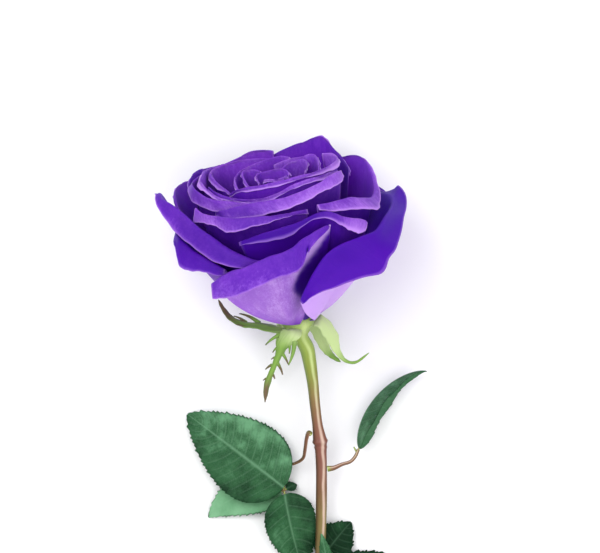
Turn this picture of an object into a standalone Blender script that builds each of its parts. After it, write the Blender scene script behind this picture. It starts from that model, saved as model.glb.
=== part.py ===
"""A violet rose flower on a leafy cut stem, lying on its side.

World frame: +Y runs along the stem towards the bloom, +Z is up and z = 0 is the surface it lies on.
Units are metres; the tables below are in millimetres and degrees.
"""
import math

import bmesh
import bpy
from mathutils import Vector
from mathutils.bvhtree import BVHTree

MM = 0.001
NAME = "rose flower"

# ---------------------------------------------------------------- the bloom's own polar frame
LEAN = math.radians(10.0)     # the bloom's axis leans to the left
TILT = math.radians(22.0)     # and rises above the surface
AXIS = Vector((-math.sin(LEAN) * math.cos(TILT), math.cos(LEAN) * math.cos(TILT), math.sin(TILT)))
SIDE = Vector((math.cos(LEAN), math.sin(LEAN), 0.0))
FRONT = Vector((math.sin(TILT) * math.sin(LEAN), -math.sin(TILT) * math.cos(LEAN), math.cos(TILT)))
HEART = Vector((0.0, 0.0, 31.0))          # where the petals meet the receptacle, mm

PETAL_THICK = 0.45
LEAF_THICK = 0.5
PETAL_GAP = 1.05                          # least distance between two petals' middle surfaces
BELLY_ROWS = (0.0, 0.16, 0.36, 0.58, 0.8, 1.0)
BAND_ROWS = (0.5, 1.0)
COLUMNS = 13                              # across a petal
HEART_COLUMNS = 10
FOOT_HALF = 15.0                          # half the angle of a petal's narrow foot
FOOT_RISE = 2.0                           # lowest petal foot above the heart
FOOT_STEP = 1.0                           # least step between two feet closer than FOOT_APART degrees
FOOT_APART = 46.0
RELAX_ROUNDS = 30
# how a petal's side swells: outward and upward shares of its two inner curve handles
CUP = (0.25, 0.14, 0.80, 0.39)
HEART_CUP = (0.30, 0.12, 1.10, 0.50)
INNER_CUP = (0.30, 0.10, 0.98, 0.42)
SLIM_CUP = (0.25, 0.14, 0.69, 0.39)
INNER_PETALS = ("petal_inner_front", "petal_second_front", "petal_back_left", "petal_left_shoulder")
SLIM_PETALS = ("petal_left_back", "petal_left_roll", "petal_left_low", "petal_under_left",
               "petal_back_shoulder", "petal_right_outer", "petal_front_roll")

# name, foot angle, fold line, free edge; both lines are (angle, radius, height) points, inside petals first
SHAPED_PETALS = [
    ("petal_inner_front", 104,
     [(142, 22.5, 64.2), (128, 22.8, 67), (112, 23.2, 68.4), (92, 23.6, 69.2), (70, 24.2, 69.6),
      (50, 25, 69), (32, 25.6, 68.2), (16, 26, 67.2), (0, 26.2, 66), (-14, 25.6, 65), (-27, 23.6, 64.2)],
     [(142, 23.1, 63.5), (128, 23.5, 66.4), (112, 23.9, 67.9), (92, 24.3, 68.7), (70, 25, 69),
      (50, 25.9, 68.4), (32, 27, 67.4), (16, 27.8, 66), (0, 27.8, 64.8), (-14, 26.8, 64), (-27, 24.4, 63.4)]),
    ("petal_second_front", 80,
     [(165, 26.2, 65.6), (152, 26.6, 65.6), (140, 26.8, 65.2), (126, 27, 65), (112, 27.2, 64.8),
      (98, 27.4, 65.2), (84, 27.5, 66.8), (70, 27.6, 68.4), (54, 27.8, 68), (38, 28, 67), (22, 27.8, 64.4)],
     [(165, 26.8, 65), (152, 27.5, 65), (140, 27.7, 64.6), (126, 27.8, 64.3), (112, 27.9, 64.2),
      (98, 28.1, 64.6), (84, 28.1, 66.2), (70, 28.2, 67.8), (54, 28.4, 67.4), (38, 28.6, 66.4),
      (22, 28.4, 63.8)]),
    ("petal_back_left", 205,
     [(138, 23.5, 64.5), (152, 24.6, 67), (166, 25.2, 68.4), (188, 26, 67.6), (212, 28.5, 64.2),
      (238, 30.5, 61.2), (260, 31.2, 62.6), (274, 30.5, 61)],
     [(138, 24.2, 64), (152, 26, 66.4), (166, 27, 67.6), (188, 28, 66.6), (212, 29.6, 63.8),
      (238, 31.5, 61.2), (260, 32.4, 62.6), (274, 31.4, 60.5)]),
    ("petal_back_peak", 312,
     [(266, 30.5, 57.4), (282, 32.2, 60.2), (297, 32.8, 63), (311, 32.8, 65.4), (322, 32.4, 61.6),
      (338, 31.5, 58), (356, 30, 57.6)],
     [(266, 31.2, 57), (282, 33.2, 60.2), (297, 33.8, 63.4), (311.5, 34.2, 66.6), (323, 33.4, 61.6),
      (338, 32.4, 57.8), (356, 31, 57)]),
    ("petal_left_shoulder", 160,
     [(206, 28, 63.4), (186, 28.6, 66), (167, 28.9, 67.4), (154, 28.9, 66.2), (140, 28.6, 65.4),
      (124, 28.4, 64.8), (106, 28.4, 63.6), (88, 28.4, 62.4), (74, 28.4, 61.6)],
     [(206, 29.6, 62.5), (186, 31, 64.8), (166, 32, 63.6), (149, 31, 62.4), (132, 29.9, 61.8),
      (118, 29.6, 61.6), (104, 29.2, 61.8), (88, 29, 61.4), (74, 29, 60.8)]),
    ("petal_first_band", 95,
     [(140, 30.4, 60.6), (130, 31, 63.4), (117, 31.2, 65), (102, 31.4, 65.9), (86, 31.4, 66.2),
      (70, 31.3, 66.8), (54, 31.2, 67.4), (42, 31, 68), (30, 30.6, 66.6)],
     [(141, 31.2, 60), (124, 33.8, 61.6), (110, 34.6, 61.6), (96, 34.8, 61.8), (82, 35, 62.8),
      (68, 35, 64.6), (55, 34.8, 65), (45, 34.6, 64.6), (32, 32.4, 65.4)]),
    ("petal_back_shoulder", 232,
     [(188, 33, 60), (203, 34.5, 62), (217, 35, 62), (232, 35, 60), (250, 35, 58.5), (268, 34.5, 57)],
     [(188, 34.4, 59.6), (203, 35.8, 62), (217, 36.2, 62.2), (232, 36, 60), (250, 36, 58.4), (268, 35.4, 56.6)]),
    ("petal_second_band", 110,
     [(147, 37.6, 64), (141, 37.3, 61.9), (132, 37.2, 61.9), (120, 37.6, 62.3), (108, 37.8, 62.2),
      (96, 37.6, 61.6), (84, 37.2, 61), (72, 36.4, 60)],
     [(149, 39.4, 58.4), (138, 39.8, 59), (129, 40, 59.2), (119.5, 41, 57.4), (107.5, 40.6, 59),
      (95, 39.2, 60.2), (84, 38.2, 60.4), (72, 37.1, 59.4)]),
    ("petal_left_back", 196,
     [(158, 38, 55), (176, 39, 59.5), (193, 39.2, 60.6), (210, 39.2, 58.8), (226, 39, 55.5), (243, 38.4, 52)],
     [(158, 39.2, 54.5), (176, 40.4, 59.4), (193, 40.6, 60.8), (210, 40.6, 58.8), (226, 40.4, 55.2),
      (243, 39.6, 51.6)]),
    ("petal_right_roll", 18,
     [(-42, 34.4, 56), (-25, 37.6, 59), (-12, 38.6, 56.8), (2, 38.8, 53), (20, 39.4, 52.4), (33, 39.4, 56.4),
      (45, 39.4, 60), (57, 39.3, 61.3), (67, 39.2, 61.8)],
     [(-42, 35.4, 55.6), (-25, 39, 59.2), (-12, 40.2, 56.6), (2, 41, 52.4), (20, 42.8, 49.8), (31, 45, 51.4),
      (42, 43.8, 54.8), (55, 42.8, 57.8), (67, 40.9, 60.9)]),
    ("petal_right_flap", 55,
     [(43.7, 46.4, 49.6), (45.5, 46, 51.8), (51.4, 45.5, 53.9), (57, 45, 56.6), (62, 44.5, 59.2),
      (68, 43.6, 60.6), (80, 42.8, 58.6), (91, 42.7, 57.8), (102, 42.6, 56.6), (114, 42.4, 53.2)],
     [(48.2, 49, 48.4), (53, 49.6, 49), (56.3, 49.5, 50.6), (58.8, 49, 53.3), (61, 48, 55.2), (65.5, 46, 58),
      (74, 43.8, 58.8), (83, 44, 55.8), (92, 44.3, 54.2), (103, 44, 53.6), (114, 43.2, 52.2)]),
    ("petal_left_roll", 140,
     [(184, 44, 61), (175, 44, 64.6), (166, 43.8, 66.4), (154, 42.8, 66), (140, 42.6, 59.8),
      (123, 42.8, 53.6), (107, 42.4, 47), (98, 41.6, 43.6), (88, 40.4, 39.6)],
     [(182, 47, 63.2), (172, 47.4, 67.2), (164, 48.4, 68.6), (157, 48.8, 64.4), (149.5, 48.2, 57.4),
      (138, 48.4, 53), (125.5, 47.6, 47.6), (112.6, 46.6, 45.2), (100, 43.4, 41.6), (88, 41.2, 38.2)]),
    ("petal_left_low", 166,
     [(212, 38.6, 40), (192, 39.4, 45), (170, 40.8, 49.6), (152, 44.4, 52), (137, 45, 48.4), (124, 43.6, 42)],
     [(212, 40.6, 38), (192, 41, 43), (170, 42.6, 47.4), (152, 48.6, 50.4), (144, 52, 44.6),
      (136, 49.6, 42.6), (124, 45.2, 40)]),
    ("petal_front_roll", 100,
     [(130.8, 47, 37.7), (118.5, 47.4, 43.9), (104, 47.6, 48.9), (92.4, 47.4, 52), (81.5, 47, 54),
      (71.3, 46.4, 55.4), (65.2, 45.8, 55.2)],
     [(130, 49.4, 31.4), (121.4, 50.2, 33), (109.8, 50.8, 37.2), (99.1, 51, 40.5), (90, 51, 43.2),
      (83.7, 50.4, 44.4), (80.2, 49.8, 47.5), (75.7, 48.8, 51.5), (66.7, 47, 54.5)]),
    ("petal_right_outer", 34,
     [(-35, 41, 40), (-22, 42.5, 41.5), (-12, 43.5, 43.5), (4, 44.5, 44.6), (20, 45.5, 46.6), (36, 46.2, 49),
      (50, 46.6, 50.2), (61, 46.9, 50.8), (70, 47.4, 47.4), (78, 47.6, 40), (83.5, 46.6, 33),
      (87, 44.6, 26.6)],
     [(-35, 48, 41.6), (-29, 48.6, 40), (-22, 49.6, 41.4), (-15.6, 50.4, 45.4), (-7, 51, 42.6),
      (11, 51, 43.6), (31, 51.6, 42.4), (42, 52.6, 39.4), (48.4, 53.6, 37.2), (52.7, 54.6, 32.4),
      (63, 52.4, 32.6), (73.4, 51, 31), (81.8, 49.6, 29.6), (86, 46, 26)]),
    ("petal_under_left", 236,
     [(200, 40, 38), (216, 44, 43), (234, 48.4, 45), (249, 47, 45), (262, 43.6, 43), (275, 41, 40)],
     [(200, 42, 36), (216, 48, 41.6), (234, 59.0, 39.8), (249, 50.6, 42), (262, 45.2, 41), (275, 42, 38.4)]),
    ("petal_under_right", 306,
     [(262, 46.4, 36), (280, 47, 41), (296, 47.6, 43), (312, 47.4, 42.6), (328, 46, 41), (344, 44.4, 38)],
     [(262, 47.6, 34.4), (280, 49, 39), (296, 51.4, 39.4), (312, 51.6, 38.8), (328, 49, 38.6), (344, 46.4, 36)]),
]


# the heart's small petals, inside first: foot angle, the middle their rims stand round (to the side and to
# the front), the rim as (angle, radius, height) and the width of the rolled lip at each of its points
HEART_PETALS = [
    (90, (1.2, 4.6),
     [(-60, 1.9, 62.6), (10, 2.2, 63.6), (80, 2.1, 63.8), (150, 2.3, 64.2), (215, 2.4, 63)],
     [0.4, 0.5, 0.5, 0.7, 0.4]),
    (95, (1.2, 4.6),
     [(200, 4, 63.4), (160, 4.2, 64.4), (125, 4.4, 65.4), (90, 4.6, 65.2), (60, 4.4, 65), (25, 4.2, 64.8),
      (-10, 4, 63.2)],
     [0.4, 0.6, 1.0, 0.8, 1.0, 0.9, 0.4]),
    (250, (0.6, 4.0),
     [(168, 6, 63.4), (180, 6.5, 65), (202, 6.8, 65.6), (221, 6.6, 65.2), (254, 5.4, 65), (293, 5.2, 65.4),
      (328, 5.6, 65.2), (352, 5.8, 64)],
     [0.6, 1.0, 1.2, 0.8, 0.6, 0.6, 0.8, 0.5]),
    (300, (6.0, 2.0),
     [(228, 6.2, 62.8), (258, 7, 63.8), (281, 9.6, 64.6), (301, 11.2, 64.8), (316, 10.7, 65.2), (336, 8.6, 65),
      (362, 6.8, 63.8)],
     [0.5, 0.6, 0.7, 1.0, 1.6, 1.4, 0.6]),
    (200, (-3.0, 4.0),
     [(262, 7.6, 64.2), (247, 8.2, 65.6), (232, 8.8, 66.2), (213, 9.4, 67), (190, 8.2, 65.6), (160, 7.6, 64.6),
      (128, 8.2, 63.4)],
     [0.6, 0.8, 1.0, 1.7, 0.8, 0.6, 0.5]),
    (330, (5.0, 3.0),
     [(255, 13.8, 63.4), (275, 13.6, 64.6), (303, 14.4, 65.4), (317, 16.2, 66.2), (332, 15.2, 65.4),
      (352, 13.6, 64.8), (374, 13.4, 64)],
     [0.6, 0.8, 1.0, 2.0, 1.4, 1.6, 0.8]),
    (230, (-2.0, 3.0),
     [(134, 16.6, 65.4), (151, 14.4, 66), (175, 12.6, 66.2), (212, 12, 66), (240, 12.4, 65.8),
      (262, 12.8, 65.8), (284, 12.8, 65.4), (308, 13, 64.8)],
     [0.9, 1.0, 1.0, 0.9, 0.9, 0.8, 0.8, 0.6]),
    (200, (-2.0, 0.0),
     [(143, 18.8, 63.4), (153, 19.2, 65), (169, 19.8, 66), (189, 21.5, 66.6), (202, 23, 66.3),
      (218, 22.6, 65.5), (236, 20.6, 65.2), (257, 17.6, 64.8), (280, 16, 64.2)],
     [0.8, 1.4, 2.0, 2.2, 1.6, 1.1, 0.9, 0.8, 0.6]),
]


# ---------------------------------------------------------------- helpers
def polar(angle, radius, height):
    """Point of the bloom's polar frame in world millimetres."""
    a = math.radians(angle)
    return HEART + AXIS * height + (SIDE * math.cos(a) + FRONT * math.sin(a)) * radius


def spline(points, s):
    """Catmull-Rom value at s in 0..1 along evenly spaced points."""
    pts = [Vector(p) for p in points]
    pos = min(max(s, 0.0), 1.0) * (len(pts) - 1)
    i = min(int(pos), len(pts) - 2)
    f = pos - i
    p1, p2 = pts[i], pts[i + 1]
    p0 = pts[i - 1] if i > 0 else p1 * 2 - p2
    p3 = pts[i + 2] if i + 2 < len(pts) else p2 * 2 - p1
    return 0.5 * (p1 * 2 + (p2 - p0) * f + (p0 * 2 - p1 * 5 + p2 * 4 - p3) * f * f
                  + (p1 * 3 - p0 - p2 * 3 + p3) * f * f * f)


def bezier(p0, p1, p2, p3, t):
    """Cubic Bezier of plain numbers."""
    u = 1.0 - t
    return p0 * u ** 3 + 3 * p1 * u * u * t + 3 * p2 * u * t * t + p3 * t ** 3


def receptacle_radius(height):
    """Radius of the receptacle's dome, which the petals stand on."""
    return 6.2 - 0.55 * (height - FOOT_RISE)


def petal_grid(foot_angle, foot_height, fold, edge, columns, cup, middle, bulging):
    """Rows of points from a petal's foot over its fold to the free edge, whose angles are about the middle."""
    lean = SIDE * middle[0] + FRONT * middle[1]
    foot_radius = receptacle_radius(foot_height) + 0.9
    k1, k2, k3, k4 = cup
    side = 1.0 if fold[-1][0] > fold[0][0] else -1.0
    grid = [[] for _ in range(len(BELLY_ROWS) + len(BAND_ROWS))]
    for c in range(columns):
        s = c / (columns - 1)
        f, e = spline(fold, s), spline(edge, s)
        foot = foot_angle + side * (2 * s - 1) * FOOT_HALF
        rise, reach = f.z - foot_height, f.y - foot_radius
        for r, t in enumerate(BELLY_ROWS):
            radius = bezier(foot_radius, foot_radius + k1 * reach, foot_radius + k3 * reach, f.y, t)
            height = bezier(foot_height, foot_height + k2 * rise, foot_height + k4 * rise, f.z, t)
            angle = foot + (f.x - foot) * (1 - (1 - t) ** 1.8)
            grid[r].append(polar(angle, radius, height) + lean * t * t)
        top, rim = polar(*f) + lean, polar(*e) + lean
        span = rim - top
        if span.length < 1.0:
            span = span.normalized() * 1.0 if span.length > 1e-6 else -AXIS
        a = math.radians(f.x)
        bulge = (SIDE * math.cos(a) + FRONT * math.sin(a) + AXIS).normalized() * span.length * bulging
        for k, t in enumerate(BAND_ROWS):
            grid[len(BELLY_ROWS) + k].append(top + span * t + bulge * 4 * t * (1 - t))
    return grid


def grid_faces(rows, columns):
    """Quads of a rows by columns grid."""
    return [(r * columns + c, r * columns + c + 1, (r + 1) * columns + c + 1, (r + 1) * columns + c)
            for r in range(rows - 1) for c in range(columns - 1)]


def outward_tree(grid, rows):
    """Search tree over the first rows of a petal, and the sign that makes its normals point outwards."""
    points = [p for row in grid[:rows] for p in row]
    tree = BVHTree.FromPolygons(points, grid_faces(rows, len(grid[0])))
    mid = grid[rows // 2][len(grid[0]) // 2]
    _, normal, _, _ = tree.find_nearest(mid)
    away = mid - HEART - AXIS * (mid - HEART).dot(AXIS)
    return tree, (1.0 if normal.dot(away) > 0 else -1.0)


def clearance(point, tree, sign, reach):
    """Signed distance outwards from a surface, its outward normal and the face, or None where it doesn't face it."""
    place, normal, face, distance = tree.find_nearest(point, reach)
    if place is None:
        return None
    normal = normal * sign
    signed = (point - place).dot(normal)
    if abs(signed) < 0.8 * distance and distance > 0.6 * PETAL_GAP:
        return None
    return signed, normal, face


def push_clear(grids):
    """Moves petals outwards, round after round, until each clears the petals inside it."""
    belly = len(BELLY_ROWS)
    for turn in range(RELAX_ROUNDS):
        trees = [outward_tree(grid, belly) for grid in grids]
        worst = 0.0
        for j, grid in enumerate(grids):
            shift = [[Vector() for _ in row] for row in grid]
            for i in range(j):
                worst = max(worst, shift_off(grid, shift, trees[i], belly))
                worst = max(worst, shift_over(grids[i], grid, shift, trees[j], belly))
            spread(shift, belly)
            for r, row in enumerate(grid):
                for c in range(len(row)):
                    row[c] = row[c] + shift[r][c] * 0.6
        if worst < 0.05:
            break


def longer(a, b):
    """The longer of two shifts."""
    return a if a.length_squared > b.length_squared else b


def shift_off(grid, shift, inner, belly):
    """Shifts an outer petal's points off an inner petal."""
    worst = 0.0
    for r in range(1, belly):
        for c in range(len(grid[0])):
            found = clearance(grid[r][c], *inner, 5.0)
            if found and found[0] < PETAL_GAP:
                shift[r][c] = longer(shift[r][c], found[1] * (PETAL_GAP - found[0]))
                worst = max(worst, PETAL_GAP - found[0])
    return worst


def shift_over(inner_grid, grid, shift, outer, belly):
    """Shifts an outer petal's faces over the points of an inner petal."""
    worst = 0.0
    columns = len(grid[0])
    for row in inner_grid:
        for point in row:
            found = clearance(point, *outer, 5.0)
            if not found or -found[0] >= PETAL_GAP:
                continue
            lack = PETAL_GAP + found[0]
            worst = max(worst, lack)
            r, c = divmod(found[2], columns - 1)
            for rr, cc in ((r, c), (r, c + 1), (r + 1, c), (r + 1, c + 1)):
                if rr > 0:
                    shift[rr][cc] = longer(shift[rr][cc], found[1] * lack)
    return worst


def spread(shift, belly):
    """Lets each point follow its neighbours a little, and the free edge follow the fold."""
    columns = len(shift[0])
    old = [list(row) for row in shift]
    for r in range(1, belly):
        for c in range(columns):
            near = [old[r][k] for k in (c - 1, c + 1) if 0 <= k < columns]
            near += [old[k][c] for k in (r - 1, r + 1) if 0 <= k < belly]
            mean = sum(near, Vector()) / len(near)
            shift[r][c] = longer(shift[r][c], mean * 0.7)
    for r in range(belly, len(shift)):
        for c in range(columns):
            shift[r][c] = shift[belly - 1][c].copy()


def stack_feet(specs):
    """Height of each petal's foot: outside petals lowest, overlapping feet a step apart."""
    heights = [0.0] * len(specs)
    for j in reversed(range(len(specs))):
        level = FOOT_RISE
        for k in range(j + 1, len(specs)):
            apart = abs((specs[j][1] - specs[k][1] + 180) % 360 - 180)
            if apart < FOOT_APART:
                level = max(level, heights[k] + FOOT_STEP)
        heights[j] = level
    return heights


# ---------------------------------------------------------------- making objects
def material(name, colour, roughness):
    """Principled material."""
    mat = bpy.data.materials.new(name)
    mat.use_nodes = True
    bsdf = mat.node_tree.nodes["Principled BSDF"]
    bsdf.inputs["Base Color"].default_value = (*colour, 1.0)
    bsdf.inputs["Roughness"].default_value = roughness
    bsdf.inputs["Metallic"].default_value = 0.0
    return mat


def link(name, points, faces, mat, root, group):
    """Object made from millimetre points, smooth shaded."""
    mesh = bpy.data.meshes.new(name)
    mesh.from_pydata([p * MM for p in points], [], faces)
    mesh.materials.append(mat)
    mesh.shade_smooth()
    obj = bpy.data.objects.new(name, mesh)
    obj.parent = root
    group.objects.link(obj)
    return obj


def thicken(obj, thickness):
    """Closed sheet of even thickness around an open surface."""
    mod = obj.modifiers.new("sheet", "SOLIDIFY")
    mod.thickness = thickness * MM
    mod.offset = 0.0
    mod.use_even_offset = False


def sheet(name, grid, thickness, mat, root, group):
    """Solid sheet from a grid of points."""
    points = [p for row in grid for p in row]
    obj = link(name, points, grid_faces(len(grid), len(grid[0])), mat, root, group)
    thicken(obj, thickness)
    return obj


def tube(name, path, radii, sides, mat, root, group, flat=1.0):
    """Closed round tube along a path with a radius at each point."""
    points, faces = [], []
    up = Vector((0.0, 0.0, 1.0))
    for i, p in enumerate(path):
        ahead = path[min(i + 1, len(path) - 1)] - path[max(i - 1, 0)]
        ahead.normalize()
        across = ahead.cross(up)
        if across.length < 0.05:
            across = ahead.cross(Vector((1.0, 0.0, 0.0)))
        across.normalize()
        over = across.cross(ahead)
        for k in range(sides):
            a = math.tau * k / sides
            points.append(p + across * math.cos(a) * radii[i] + over * math.sin(a) * radii[i] * flat)
    for i in range(len(path) - 1):
        for k in range(sides):
            n = (k + 1) % sides
            faces.append((i * sides + k, (i + 1) * sides + k, (i + 1) * sides + n, i * sides + n))
    faces.append(tuple(range(sides)))
    faces.append(tuple((len(path) - 1) * sides + k for k in reversed(range(sides))))
    obj = link(name, points, faces, mat, root, group)
    bm = bmesh.new()
    bm.from_mesh(obj.data)
    bmesh.ops.recalc_face_normals(bm, faces=bm.faces)
    bm.to_mesh(obj.data)
    bm.free()
    return obj


# ---------------------------------------------------------------- stem, sepals and leaves
STEM_PATH = [(3.5, -10.4, 24.9), (4.7, -16, 22.9), (5.9, -24, 20.6), (6.8, -33, 18.6), (7.8, -41, 16.9),
             (8.8, -47.2, 15.7), (9.1, -50, 15.1), (9.4, -59, 13.4), (9.4, -71, 11.2), (9.2, -83, 8.9), (8.8, -95, 6.7),
             (8.5, -107, 4.5), (8.3, -119, 2.3)]
STEM_RADII = [3.0, 2.7, 2.3, 2.1, 2.1, 2.75, 2.4, 2.2, 2.25, 2.05, 2.0, 2.05, 2.1]
RECEPTACLE = [(11.7, 0.5), (10.7, 1.3), (6.3, 3.8), (2.0, 6.2), (-0.6, 6.6), (-3.2, 5.3), (-6.4, 3.8)]

SEPAL_THICK = 0.6
SEPAL_ROOT = (7.05, -0.6)                  # radius and height of a sepal's foot
SEPAL_BEND = (10.2, -1.6)                  # and of the bend where it turns back

# name, root angle, path after the bend, half widths, facing direction
SEPALS = [
    ("sepal_left", 172, [(-16, -2.6, 26.6), (-21.4, -1.8, 24), (-26.6, 0.8, 22.6),
                         (-29.8, 4.8, 21.8), (-31.8, 8.6, 21.6)],
     [3.0, 3.2, 2.8, 2.2, 1.5, 0.9, 0.5], (-0.16, 0.91, 0.38)),
    ("sepal_front", 112, [(-5.8, -8.4, 37.2), (-7.4, -12.4, 34.8), (-9.8, -18, 32),
                         (-12.4, -25, 29.4), (-13.2, -32, 28.4)],
     [3.6, 4.4, 3.4, 1.8, 1.1, 1.3, 0.5], (0.1, -0.25, 1.0)),
    ("sepal_right", 12, [(13.4, -5.6, 27.4), (15.4, -11.0, 24), (18.6, -15.2, 21.4),
                         (23, -16, 20.4), (28.4, -12.2, 20)],
     [3.6, 3.6, 3.0, 1.9, 0.9, 0.6, 0.45], (0.25, 0.1, 1.0)),
    ("sepal_under_left", 238, [(-8.4, -5.0, 17.4), (-10, -13.4, 12.6), (-10.8, -18.6, 9.8),
                               (-11.4, -23.6, 8.2)],
     [3.2, 3.8, 3.0, 2.0, 1.1, 0.5], (-0.4, 0.1, -0.9)),
    ("sepal_under_right", 304, [(8.0, -4.0, 16.4), (10.8, -10.4, 11.2),
                                (13.6, -13.6, 8.6), (17, -16, 7.4)],
     [3.2, 3.8, 3.0, 2.0, 1.1, 0.5], (0.4, 0.1, -0.9)),
]

# name: base, tip, half width, sideways bow, lift of the middle, fold of the two halves, facing direction
LEAFLETS = [
    ("leaflet_left_end", (-5.6, -66.2, 6.3), (-44.4, -36.8, 0.5), 16.0, 0.0, 3.0, 0.10, (0.10, 0.0, 1.0)),
    ("leaflet_left_lower", (-5.3, -68.7, 5.3), (2.2, -99.5, 1.6), 10.6, 1.2, 2.2, 0.16, (0.2, 0.0, 1.0)),
    ("leaflet_left_under", (-6.8, -67.7, 3.6), (-35.8, -78.4, 1.4), 9.0, 4.0, 0.6, 0.12, (0.0, 0.04, 1.0)),
    ("leaflet_left_small", (-4.6, -66.8, 4.6), (-0.6, -65.0, 1.2), 2.4, 0.0, 0.4, 0.25, (0.1, 0.5, 1.0)),
    ("leaflet_right", (24.4, -50.4, 10.6), (51.8, -19.8, 8.4), 8.6, 0.8, -9.0, 0.70, (0.9, -0.5, 0.2)),
    ("leaflet_low_upper", (9.9, -94.4, 2.8), (21.3, -80.0, 2.4), 8.5, -0.5, 0.4, 0.06, (0.0, 0.0, 1.0)),
    ("leaflet_low_right", (14.9, -102.9, 2.1), (36.6, -93.0, 0.4), 8.0, 0.6, 0.2, 0.04, (0.0, 0.0, 1.0)),
    ("leaflet_low_front", (12.6, -105.8, 7.0), (9.2, -84.4, 12.6), 3.6, 0.4, 0.8, 0.24, (0.1, 0.0, 1.0)),
]

PETIOLES = [
    ("petiole_left", [(5.0, -44.6, 16.8), (4.2, -44.2, 17.6), (3.4, -46.6, 17.0), (2.8, -51, 13.8), (2.0, -54.4, 10.4),
                      (-1.0, -56.4, 7.4), (-5.2, -57.6, 5.0), (-6.2, -61, 4.3), (-5.7, -67.7, 4.7)],
     [1.0, 0.9, 0.75, 0.7, 0.65, 0.6, 0.6, 0.7, 0.8]),
    ("petiole_right", [(11.8, -58.6, 14.2), (14.4, -58.2, 14.4), (17.6, -56.8, 13.4), (20.8, -55.8, 11.6),
                       (22.8, -53.8, 10.6), (24.1, -50.95, 10.3)],
     [1.2, 0.95, 0.75, 0.7, 0.7, 0.65]),
    ("petiole_low", [(11.4, -108.4, 4.6), (12.6, -107.2, 5.6), (13.2, -104.8, 4.8), (13.9, -102.3, 3.2),
                     (12.2, -98.6, 2.9), (10.3, -95.3, 2.8)],
     [1.0, 0.85, 0.7, 0.65, 0.6, 0.55]),
]


def leaf_width(t):
    """Outline of a leaflet: round at the foot, pointed at the tip."""
    return max(math.sin(math.pi * min(max(t, 0.0), 1.0) ** 0.62), 0.0) ** 0.75


def leaf_grid(base, tip, half, bow, lift_mid, fold, facing, rows=8, columns=5):
    """Rows of points across a leaflet from its foot to its tip."""
    base, tip, facing = Vector(base), Vector(tip), Vector(facing).normalized()
    along = (tip - base).normalized()
    across = along.cross(facing).normalized()
    over = across.cross(along).normalized()
    grid = []
    for r in range(rows):
        t = 0.004 + 0.986 * r / (rows - 1)
        arch = (4 * t * (1 - t)) ** 0.7
        mid = base.lerp(tip, t) + across * bow * arch + over * lift_mid * arch
        width = half * max(leaf_width(t), 0.07)
        row = []
        for c in range(columns):
            q = 2 * c / (columns - 1) - 1
            rise = abs(q) * width * fold
            row.append(mid + across * q * width * math.sqrt(max(1 - fold * fold, 0.04)) + over * rise)
        grid.append(row)
    return grid


def sepal_grid(path, widths, facing, rows=9, columns=3):
    """Rows of points across a sepal."""
    grid = []
    for r in range(rows):
        t = r / (rows - 1)
        p = spline(path, t)
        turn = min(t / 0.4, 1.0)
        ahead = (spline(path, min(t + 0.03, 1.0)) - spline(path, max(t - 0.03, 0.0))).normalized()
        across = ahead.cross(AXIS.lerp(Vector(facing).normalized(), turn)).normalized()
        over = across.cross(ahead).normalized()
        width = spline([(w, 0, 0) for w in widths], t).x
        grid.append([p + across * q * width + over * (1 - abs(q)) * width * 0.28
                     for q in (2 * c / (columns - 1) - 1 for c in range(columns))])
    return grid


def heart_specs():
    """The heart's petals in the form of the shaped ones, each with the middle its rim stands round."""
    out = []
    for k, (foot, middle, rim, lips) in enumerate(HEART_PETALS):
        edge = [(angle, radius + 0.8 * lip, height - 0.55 * lip) for (angle, radius, height), lip in zip(rim, lips)]
        out.append((f"petal_heart_{k + 1:02d}", foot, rim, edge, middle))
    return out


def build_petals(mat, root, group):
    """Every petal of the bloom, inside first."""
    specs = heart_specs() + [(*spec, (0.0, 0.0)) for spec in SHAPED_PETALS]
    grids = []
    for (name, foot, fold, edge, middle), foot_height in zip(specs, stack_feet(specs)):
        heart = name.startswith("petal_heart")
        cup = HEART_CUP if heart else SLIM_CUP if name in SLIM_PETALS else CUP
        cup = INNER_CUP if name in INNER_PETALS else cup
        columns = HEART_COLUMNS if heart else COLUMNS
        bulging = -0.05 if name == "petal_right_outer" else 0.1
        grids.append(petal_grid(foot, foot_height, fold, edge, columns, cup, middle, bulging))
    push_clear(grids)
    for (name, *_), grid in zip(specs, grids):
        sheet(name, grid, PETAL_THICK, mat, root, group)


def build_stem(mat, root, group):
    """Stem that widens into the receptacle under the bloom."""
    top = [HEART + AXIS * h for h, _ in RECEPTACLE]
    path = top + [Vector(p) for p in STEM_PATH]
    radii = [r for _, r in RECEPTACLE] + STEM_RADII
    tube("stem", path, radii, 14, mat, root, group)


def build():
    """Whole flower, centred on the middle of its underside."""
    for obj in list(bpy.data.objects):
        bpy.data.objects.remove(obj, do_unlink=True)
    group = bpy.data.collections.new(NAME)
    bpy.context.scene.collection.children.link(group)
    root = bpy.data.objects.new("rose_root", None)
    group.objects.link(root)
    petal = material("petal", (0.15, 0.035, 0.52), 0.62)
    green = material("sepal", (0.33, 0.45, 0.12), 0.6)
    leaf = material("leaf", (0.05, 0.17, 0.07), 0.45)
    stem = material("stem", (0.30, 0.20, 0.08), 0.5)
    build_petals(petal, root, group)
    build_stem(stem, root, group)
    for name, angle, path, widths, facing in SEPALS:
        path = [polar(angle, *SEPAL_ROOT), polar(angle, *SEPAL_BEND)] + path
        sheet(name, sepal_grid(path, widths, facing), SEPAL_THICK, green, root, group)
    for name, *shape in LEAFLETS:
        sheet(name, leaf_grid(*shape), LEAF_THICK, leaf, root, group)
    for name, path, radii in PETIOLES:
        points = [spline(path, k / 11) for k in range(12)]
        sizes = [spline([(r, 0, 0) for r in radii], k / 11).x for k in range(12)]
        tube(name, points, sizes, 8, stem, root, group)
    settle(root, group)


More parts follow.
